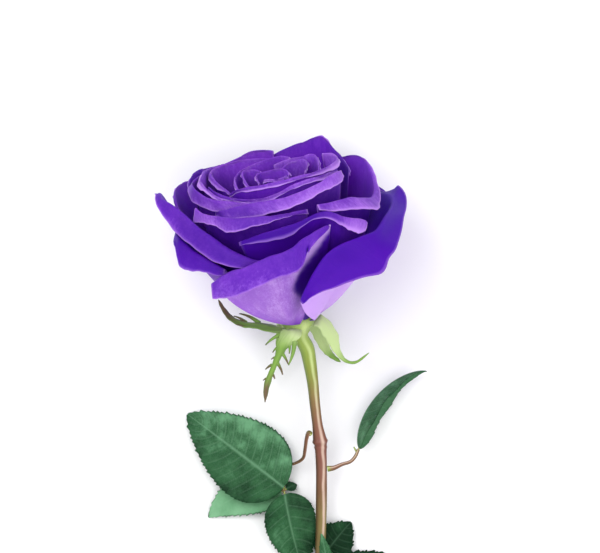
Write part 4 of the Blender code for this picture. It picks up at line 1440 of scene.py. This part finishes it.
@dataclass
class Bloom:
    """The whole head of petals."""

    bench: Workbench
    finish: bpy.types.Material
    thickness: float = 0.3
    rows: int = 46
    columns: int = 64
    wave: float = 0.35
    heart_wave: float = 0.6
    nibble: float = 0.5
    rim_width: tuple[float, float] = (0.15, 0.9)
    rim_reach: float = 9.0
    softening: int = 5
    seed_step: float = 1.618

    def build(self) -> None:
        """Makes every petal."""
        hearts = [plan.petal(number) for number, plan in enumerate(HEART_PETALS, 1)]
        shaper = PetalShaper(hearts + SHAPED_PETALS)
        for number, (plan, grid) in enumerate(zip(shaper.plans, shaper.grids)):
            self._petal(plan, np.array([[tuple(p) for p in row] for row in grid]), number)

    def _petal(self, plan: PetalPlan, cage: np.ndarray, number: int) -> None:
        """Makes one petal.

        Args:
            plan: the petal.
            cage: its control points, rows by columns by 3.
            number: its place in the bloom.
        """
        heart = plan.cup is Cup.HEART
        rows, columns = (self.rows * 3 // 4, self.columns * 3 // 4) if heart else (self.rows, self.columns)
        s = np.linspace(0, 1, columns)
        grid, turned = self._surface(cage, rows, s)
        height = np.linspace(0, 1, rows)[:, None] * np.ones(columns)
        across = (1 - s if turned else s) + 0 * height
        seed = number * self.seed_step
        crease = CREASES.get(plan.name)
        wave = ripple(s + 0.25 * height, seed) * step(0.25, 0.9, height) * self.wave
        wave *= self.heart_wave if heart else 1.0
        reach = ripple(s * 1.6 + 0.4, seed + 2.0)[None, :] * step(0.86, 1.0, height) * self.nibble
        if crease:
            reach = reach - crease.depth * crease.slit(across) * step(0.90, 1.0, height)
        ahead = unit(np.gradient(grid, axis=0))
        grid = grid + normals_of(grid) * wave[..., None] + ahead * reach[..., None]
        marks = self._marks(LOOKS.get(plan.name, HEART_LOOK), crease, grid, s, across, height, seed)
        obj = self.bench.sheet(f"bloom_{plan.name}", grid, self.thickness, marks)
        self.bench.finish(obj, self.finish, "petal", f"petal_{plan.name}")

    def _surface(self, cage: np.ndarray, rows: int, s: np.ndarray) -> tuple[np.ndarray, bool]:
        """Smooth surface through a petal's control points.

        Args:
            cage: rows by columns by 3 control points.
            rows: rows of the surface, from foot to rim.
            s: places across the petal, 0 to 1.

        Returns:
            The surface's points, with normals towards the bloom's axis, and whether s runs the other way.
        """
        grid = smooth(cage, np.linspace(0, len(cage) - 1, rows))
        grid = smooth(grid.transpose(1, 0, 2), s * (cage.shape[1] - 1)).transpose(1, 0, 2)
        for _ in range(self.softening):
            grid[1:-1] = (grid[:-2] + 2 * grid[1:-1] + grid[2:]) / 4
        centre = rows // 2, len(s) // 2
        axis = np.array(AXIS)
        away = grid[centre] - np.array(HEART)
        away = away - axis * away.dot(axis)
        turned = bool(normals_of(grid)[centre].dot(away) > 0)
        return (grid[:, ::-1] if turned else grid), turned

    def _marks(self, look: Look, crease: Crease | None, grid: np.ndarray, s: np.ndarray, across: np.ndarray,
               height: np.ndarray, seed: float) -> dict[str, np.ndarray]:
        """What the petal's finish reads at each point.

        Args:
            look: how much painted light the petal gets, and how pale its reverse is.
            crease: its tear and fold, if it has one.
            grid: its points.
            s: places along each row, 0 to 1.
            across: the same places counted from the plan's first edge.
            height: place from foot to rim, 0 to 1.
            seed: shifts the petal's pattern.

        Returns:
            The marks by name.
        """
        rows, columns = height.shape
        lengths = np.cumsum(np.linalg.norm(np.diff(grid[:, columns // 2], axis=0), axis=1))
        lengths = np.concatenate([[0.0], lengths])[:, None]
        width = np.linalg.norm(np.diff(grid[rows * 3 // 4], axis=0), axis=1).sum()
        grain = np.stack(np.broadcast_arrays(s[None, :] * width, lengths, seed * 17.0), axis=-1)
        inward = np.minimum(lengths[-1] - lengths, np.minimum(s, 1 - s)[None, :] * width)
        crease_shade, lit = crease.shades(across, height) if crease else (height * 0, height * 0)
        return {
            "height": height,
            "grain": grain,
            # Painted highlight along the thin rims.
            "rim": 1 - step(*self.rim_width, inward),
            # Painted light near the free edge.
            "far": step(0.0, self.rim_reach, inward),
            # Painted light level across the petal.
            "tone": look.first + (look.last - look.first) * step(0.05, 0.75, across),
            # Painted shade beside the fold and painted shadow in the tear.
            "crease_shade": crease_shade,
            # Paler reverse, plus a painted highlight on the fold's ridge.
            "pale_and_ridge_highlight": look.pale * (1 + 0.25 * across * height) + 0.3 * lit,
        }


@dataclass
class Calyx:
    """The sepals under the bloom."""

    bench: Workbench
    finish: bpy.types.Material
    thickness: float = 0.45
    keel: float = 0.28
    rows: int = 60
    columns: int = 13
    lobe_keel: float = 0.15
    lobe_rows: int = 20
    lobe_columns: int = 5

    def build(self) -> None:
        """Makes every sepal."""
        for number, plan in enumerate(SEPALS):
            self._sepal(plan, number)

    def _sepal(self, plan: SepalPlan, number: int) -> None:
        """Makes one sepal with its lobes.

        Args:
            plan: the sepal.
            number: its place in the calyx.
        """
        root, bend = (tuple(polar(plan.root, *place)) for place in (SEPAL_ROOT, SEPAL_BEND))
        path = np.array([root, bend, *plan.path])
        t = np.linspace(0, 1, self.rows)
        line = smooth(path, t * (len(path) - 1))
        ahead = unit(np.gradient(line, axis=0))
        turn = np.minimum(t / 0.4, 1.0)[:, None]
        guide = np.array(AXIS) * (1 - turn) + unit(np.array(plan.facing)) * turn
        across = unit(np.cross(ahead, guide))
        over = unit(np.cross(across, ahead))
        width = smooth(np.array(plan.widths), t * (len(plan.widths) - 1))
        width *= np.sqrt(np.clip((1 - t) / 0.06, 0.03, 1))
        q = np.linspace(-1, 1, self.columns)
        frill = 1 + 0.06 * np.sin(math.tau * (t * 9 + number))
        keel = (1 - np.abs(q)) * self.keel
        grid = (line[:, None] + across[:, None] * q[None, :, None] * (width * frill)[:, None, None]
                + over[:, None] * keel[None, :, None] * width[:, None, None])
        obj = self._blade(f"calyx_{plan.name}", grid, t + plan.ripe, number)
        spine = (line, ahead, across, over)
        lobes = [self._lobe(plan, lobe, spine, width, t, k) for k, lobe in enumerate(plan.lobes)]
        self.bench.join(obj, lobes)
        self.bench.finish(obj, self.finish, "sepal", f"sepal_{plan.name}")

    def _blade(self, name: str, grid: np.ndarray, along: np.ndarray, seed: float) -> bpy.types.Object:
        """Makes a narrow blade with its marks.

        Args:
            name: the new object's name.
            grid: its points.
            along: how ripe it is at each row.
            seed: shifts its pattern.

        Returns:
            The blade.
        """
        rows, columns = grid.shape[:2]
        q = np.linspace(-1, 1, columns)[None, :] + np.zeros((rows, 1))
        span = np.linalg.norm(grid[:, -1] - grid[:, 0], axis=1)[:, None]
        steps = np.linalg.norm(np.diff(grid[:, columns // 2], axis=0), axis=1)
        length = np.concatenate([[0.0], np.cumsum(steps)])
        grain = np.stack([q * span / 2, length[:, None] + 0 * q, 0 * q + seed * 11.0], axis=-1)
        marks = {"grain": grain, "along": along[:, None] + 0 * q, "vein": np.exp(-(q * 2.2) ** 2)}
        return self.bench.sheet(name, grid, self.thickness, marks)

    def _lobe(self, plan: SepalPlan, lobe: Lobe, spine: tuple[np.ndarray, ...], width: np.ndarray,
              t: np.ndarray, number: int) -> bpy.types.Object:
        """Makes one pointed lobe that leaves a sepal's edge and curves towards its tip.

        Args:
            plan: the sepal.
            lobe: the lobe on it.
            spine: the sepal's line, and its directions ahead, across and over at each point.
            width: its half width at each point.
            t: place along it, 0 to 1.
            number: the lobe's own number.

        Returns:
            The lobe, still to be joined to its sepal.
        """
        at = int(lobe.place * (len(t) - 1))
        line, ahead, across, over = (part[at] for part in spine)
        rise, lean = math.radians(lobe.rise), math.radians(lobe.lean)
        out = (across * math.cos(rise) + over * math.sin(rise)) * lobe.side.value
        way = ahead * math.cos(lean) + out * math.sin(lean)
        start = line + across * lobe.side.value * width[at] * 0.8
        u = np.linspace(0, 1, self.lobe_rows)
        bend = 0.09 * lobe.length * np.sin(u * 2.6)
        middle = start + way * (u * lobe.length)[:, None] + out * bend[:, None]
        wide = lobe.width * np.clip(1.05 - u, 0.03, 1) ** 0.8
        flat = unit(np.cross(np.cross(ahead, out), way))
        q = np.linspace(-1, 1, self.lobe_columns)
        lift = np.cross(way, flat) * self.lobe_keel * lobe.width
        grid = (middle[:, None] + flat * (q[None, :, None] * wide[:, None, None])
                + lift * (1 - np.abs(q))[None, :, None])
        along = t[at] + plan.ripe + 0.1 + 0.5 * u
        return self._blade(f"lobe_{plan.name}_{number}", grid, along, number + 0.5)


@dataclass
class Foliage:
    """The serrated leaflets."""

    bench: Workbench
    finish: bpy.types.Material
    thickness: float = 0.32
    rows: int = 230
    columns: int = 41
    crowding: float = 1.25
    pucker: float = 0.020
    warp: float = 0.35
    lean: float = 0.6

    def build(self) -> None:
        """Makes every leaflet."""
        for number, plan in enumerate(LEAFLETS):
            self._leaflet(plan, number)

    def _leaflet(self, plan: LeafPlan, number: int) -> None:
        """Makes one leaflet: a toothed blade, puckered between its veins.

        Args:
            plan: the leaflet.
            number: shifts its teeth and patterns.
        """
        base, tip = np.array(plan.base), np.array(plan.tip)
        along = unit(tip - base)
        across = unit(np.cross(along, unit(np.array(plan.facing))))
        over = unit(np.cross(across, along))
        size = np.linalg.norm(tip - base)
        t, q = np.linspace(0.004, 0.994, self.rows)[:, None], np.linspace(-1, 1, self.columns)[None, :]
        q = np.sign(q) * (1 - (1 - np.abs(q)) ** self.crowding)
        reach = np.abs(q)
        width = self._half_width(plan, t)
        tooth = self._teeth(plan, t + 0.006 * q, number) * step(0.03, 0.10, t)
        lip = step(0.80, 1.0, reach) * tooth * np.minimum(width / 4, 1.0)
        spread = q * width + np.sign(q) * (lip - 0.25 * step(0.8, 1.0, reach)) * plan.bite
        swing = t - 0.17 * reach ** 1.25 + 0.035 * reach
        beat = swing * (plan.veins + 1) + 0.25 * (q > 0)
        vein, swell = self._ribs(plan, t, q, width, beat, size)
        wave = self.warp * np.sin(t * 17 + number + 1.3 * np.sign(q)) * reach ** 3
        wave *= min(plan.half / 10, 1.0)
        relief = swell * self.pucker * plan.half + wave
        arch = (4 * t * (1 - t)) ** 0.7
        flat = math.sqrt(1 - plan.fold * plan.fold)
        ahead, bow, lift = size * t + lip * self.lean, plan.bow * arch, plan.lift * arch
        rise = reach * width * plan.fold + relief
        grid = (base + along * ahead[..., None] + across * bow[..., None] + over * lift[..., None]
                + across * (spread * flat)[..., None] + over * rise[..., None])
        ones = np.ones((self.rows, self.columns))
        marks = {
            "grain": np.stack([q * width * ones, t * size * ones, number * 9.7 * ones], axis=-1),
            "vein": vein * ones,
            "rib": swell * ones,
            # Painted light: how lit the leaflet is, more on one half and towards its tip.
            "tone": (plan.tone + plan.lit_slant * (0.8 * q * (1 - 0.5 * t) + 0.5 * (t - 0.5))) * ones,
            "edge": step(0.93, 1.0, reach) * ones,
        }
        obj = self.bench.sheet(f"blade_{plan.name}", grid, self.thickness, marks)
        if plan.under:
            self._turn_over(obj)
        self.bench.finish(obj, self.finish, "leaf", f"leaflet_{plan.name}")

    @staticmethod
    def _turn_over(obj: bpy.types.Object) -> None:
        """Swaps a leaflet's upper face and underside.

        Args:
            obj: the leaflet's blade.
        """
        layer = obj.data.attributes["reverse"]
        values = np.empty(len(layer.data), dtype=np.float32)
        layer.data.foreach_get("value", values)
        layer.data.foreach_set("value", 1 - values)

    @staticmethod
    def _half_width(plan: LeafPlan, t: np.ndarray) -> np.ndarray:
        """Half width of the blade: widest below the middle, narrow at both ends.

        Args:
            plan: the leaflet.
            t: place along it, 0 to 1.

        Returns:
            Millimetres at each place.
        """
        width = plan.half * np.maximum(np.sin(math.pi * t ** 0.62), 0.0) ** 0.75
        return np.maximum(width, 0.5 * np.minimum(1.0, t * 40 + 0.4) * (t < 0.5) + 0.12)

    @staticmethod
    def _teeth(plan: LeafPlan, t: np.ndarray, number: int) -> np.ndarray:
        """Saw teeth of uneven size that lean towards the tip.

        Args:
            plan: the leaflet.
            t: place along it, 0 to 1.
            number: shifts the teeth.

        Returns:
            0 to 1 at each place.
        """
        beat = t * plan.teeth + 0.25 * np.sin(t * 31 + number)
        phase = beat % 1.0
        size = 0.75 + 0.25 * np.sin(np.floor(beat) * 2.4 + number)
        return np.where(phase < 0.8, (phase / 0.8) ** 1.4, (1 - phase) / 0.2) * size

    @staticmethod
    def _ribs(plan: LeafPlan, t: np.ndarray, q: np.ndarray, width: np.ndarray, beat: np.ndarray,
              size: float) -> tuple[np.ndarray, np.ndarray]:
        """Relief of a leaflet.

        Args:
            plan: the leaflet.
            t: place along it, 0 to 1.
            q: place across it, -1 to 1.
            width: its half width along it, in millimetres.
            beat: count of side veins passed at each point.
            size: its length in millimetres.

        Returns:
            Its veins and the swelling between them, both 0 to 1.
        """
        reach = np.abs(q)
        nearest = np.abs(beat - np.round(beat)) / (plan.veins + 1) * size
        side = np.exp(-(nearest / 0.22) ** 2) * step(0.02, 0.1, reach) * (1 - step(0.72, 0.98, reach))
        side *= step(0.02, 0.06, t) * (1 - step(0.93, 0.99, t))
        midrib = np.exp(-(q * width / (0.22 + 0.28 * (1 - t))) ** 2)
        swell = (np.abs(np.sin(math.pi * beat)) ** 0.8) * reach ** 0.5 * (1 - reach ** 3)
        fine = 0.5 + 0.5 * np.sin(math.tau * beat * 3 + 2.0 * reach)
        return np.maximum(side * 0.35, midrib * (0.9 - 0.4 * t)), swell * (0.7 + 0.3 * fine)


@dataclass(frozen=True)
class Ring:
    """A raised ring on the stem: its place along y, its height and its half width, in millimetres."""

    place: float
    height: float
    width: float

    def rise(self, y: np.ndarray) -> np.ndarray:
        """How far it lifts the bark at each place."""
        return self.height * np.exp(-((y - self.place) / self.width) ** 2)


@dataclass
class Stalks:
    """The stem with its receptacle, and the leaves' stalks."""

    bench: Workbench
    finish: bpy.types.Material
    rows: int = 260
    sides: int = 40
    top: float = 10.0
    length: float = 129.0
    ridge: float = 0.018
    node_rings: tuple[Ring, Ring] = (Ring(-47.6, 0.35, 0.7), Ring(-50.0, 0.22, 0.5))
    petiole_rows: int = 90
    petiole_sides: int = 20
    twig_rows: int = 14
    twig_sides: int = 10
    twig_radii: tuple[float, float] = (0.5, 0.25)

    def build(self) -> None:
        """Makes the stem and the stalks."""
        self._stem()
        for plan in PETIOLES:
            self._petiole(plan)

    def _stem(self) -> None:
        """Makes the stem: dome, neck, ridges, the swollen node and the cut end."""
        path = np.array([tuple(HEART + AXIS * h) for h, _ in RECEPTACLE] + [tuple(p) for p in STEM_PATH])
        radii = np.array([r for _, r in RECEPTACLE] + STEM_RADII)
        t = np.linspace(0, 1, self.rows)
        line = smooth(path, t * (len(path) - 1))
        radius = np.maximum(smooth(radii, t * (len(radii) - 1)), 0.3)
        turn = np.linspace(0, math.tau, self.sides, endpoint=False)
        strength = step(0.35, 0.45, t)[:, None] * self.ridge
        coarse, fine = np.sin(turn * 7 + 3 * t[:, None]), np.sin(turn * 12 - 5 * t[:, None])
        y = line[:, 1]
        ring = sum(each.rise(y) for each in self.node_rings)
        rings = radius[:, None] * (1 + strength * (coarse + 0.7 * fine)) + ring[:, None]
        cut = np.zeros_like(t)
        cut[-1] = 1.0
        marks = {"along": np.clip((self.top - y) / self.length, 0, 1), "cut": cut}
        obj = self.bench.tube("stalk_main", line, rings, marks, self.sides)
        self.bench.finish(obj, self.finish, "stem", "stem")

    def _petiole(self, plan: StalkPlan) -> None:
        """Makes one leaf stalk with the short stalks of its leaflets.

        Args:
            plan: the stalk.
        """
        path, radii = np.array(plan.path), np.array(plan.radii)
        t = np.linspace(0, 1, self.petiole_rows)
        line = smooth(path, t * (len(path) - 1))
        radius = smooth(radii, t * (len(radii) - 1))
        marks = {"along": 0.42 - 0.22 * np.exp(-(t / 0.12) ** 2) - 0.08 * t, "cut": np.zeros_like(t)}
        obj = self.bench.tube(f"stalk_{plan.name}", line, radius, marks, self.petiole_sides)
        twigs = []
        for number, route in enumerate(plan.twigs):
            u = np.linspace(0, 1, self.twig_rows)
            line = smooth(np.array(route), u * (len(route) - 1))
            thick, thin = self.twig_radii
            marks = {"along": 0.30 - 0.15 * u, "cut": np.zeros_like(u)}
            name = f"twig_{plan.name}_{number}"
            radius = thick + (thin - thick) * u
            twigs.append(self.bench.tube(name, line, radius, marks, self.twig_sides))
        self.bench.join(obj, twigs)
        self.bench.finish(obj, self.finish, "stem", f"petiole_{plan.name}")


# ---------------------------------------------------------------- studio
@dataclass(frozen=True)
class Lamp:
    """A soft square light: where it stands, its side in metres and its power in watts."""

    name: str
    place: Row
    size: float
    power: float


@dataclass
class Studio:
    """Pale floor, soft lights and the camera that looks down on the flower."""

    lamps: tuple[Lamp, ...] = (
        Lamp("key", (-0.35, 0.30, 1.20), 0.7, 8.5),
        Lamp("fill", (0.5, -0.3, 1.2), 1.2, 7.0),
    )
    room_light: float = 0.70
    reach: float = 8.0
    sensor: float = 36.0
    frame_width: float = 0.240
    far: float = 20.0
    aim: Row = (0.8, 18.2, 0.0)
    floor_size: float = 6.0
    floor: Colour = (0.93, 0.93, 0.94)
    floor_cloud: Colour = (0.90, 0.90, 0.91)

    def build(self) -> None:
        """Makes the floor, the lights and the camera."""
        self._floor()
        for lamp in self.lamps:
            self._light(lamp)
        self._camera()
        world = bpy.data.worlds.new("room")
        bpy.context.scene.world = world
        world.use_nodes = True
        background = world.node_tree.nodes["Background"]
        background.inputs["Color"].default_value = (1.0, 1.0, 1.0, 1.0)
        background.inputs["Strength"].default_value = self.room_light
        bpy.context.scene.view_settings.view_transform = "Standard"

    def _floor(self) -> None:
        """Makes the plain pale floor."""
        bpy.ops.mesh.primitive_plane_add(size=self.floor_size, location=(0.0, 0.0, 0.0))
        floor = bpy.context.active_object
        floor.name = "floor"
        g = Graph("floor_paint", 0.8)
        cloud = g.noise(g.node("ShaderNodeTexCoord", {}, {}, "Object"), 3.0)
        floor.data.materials.append(g.shade(g.mix(cloud * 0.3, self.floor, self.floor_cloud)))

    @staticmethod
    def _light(lamp: Lamp) -> None:
        """Adds a light that points at the flower.

        Args:
            lamp: the light.
        """
        data = bpy.data.lights.new(lamp.name, "AREA")
        data.size = lamp.size
        data.energy = lamp.power
        obj = bpy.data.objects.new(lamp.name, data)
        bpy.context.scene.collection.objects.link(obj)
        obj.location = lamp.place
        obj.rotation_mode = "QUATERNION"
        obj.rotation_quaternion = (-Vector(lamp.place)).to_track_quat("-Z", "Y")

    def _camera(self) -> None:
        """Adds the camera straight above."""
        data = bpy.data.cameras.new("camera")
        data.sensor_width = self.sensor
        data.lens = self.sensor * self.reach / self.frame_width
        data.clip_end = self.far
        obj = bpy.data.objects.new("camera", data)
        bpy.context.scene.collection.objects.link(obj)
        obj.location = ((np.array(self.aim) + SETTLE) * MM * (1, 1, 0) + (0, 0, self.reach)).tolist()
        bpy.context.scene.camera = obj


def main() -> None:
    """Builds the flower and the studio round it."""
    logging.basicConfig(level=logging.INFO, format="%(name)s: %(message)s")
    bench = Workbench()
    Bloom(bench, PetalFinish().make()).build()
    Calyx(bench, SepalFinish().make()).build()
    Foliage(bench, LeafFinish().make()).build()
    Stalks(bench, StemFinish().make()).build()
    Studio().build()


if __name__ == "__main__":
    main()
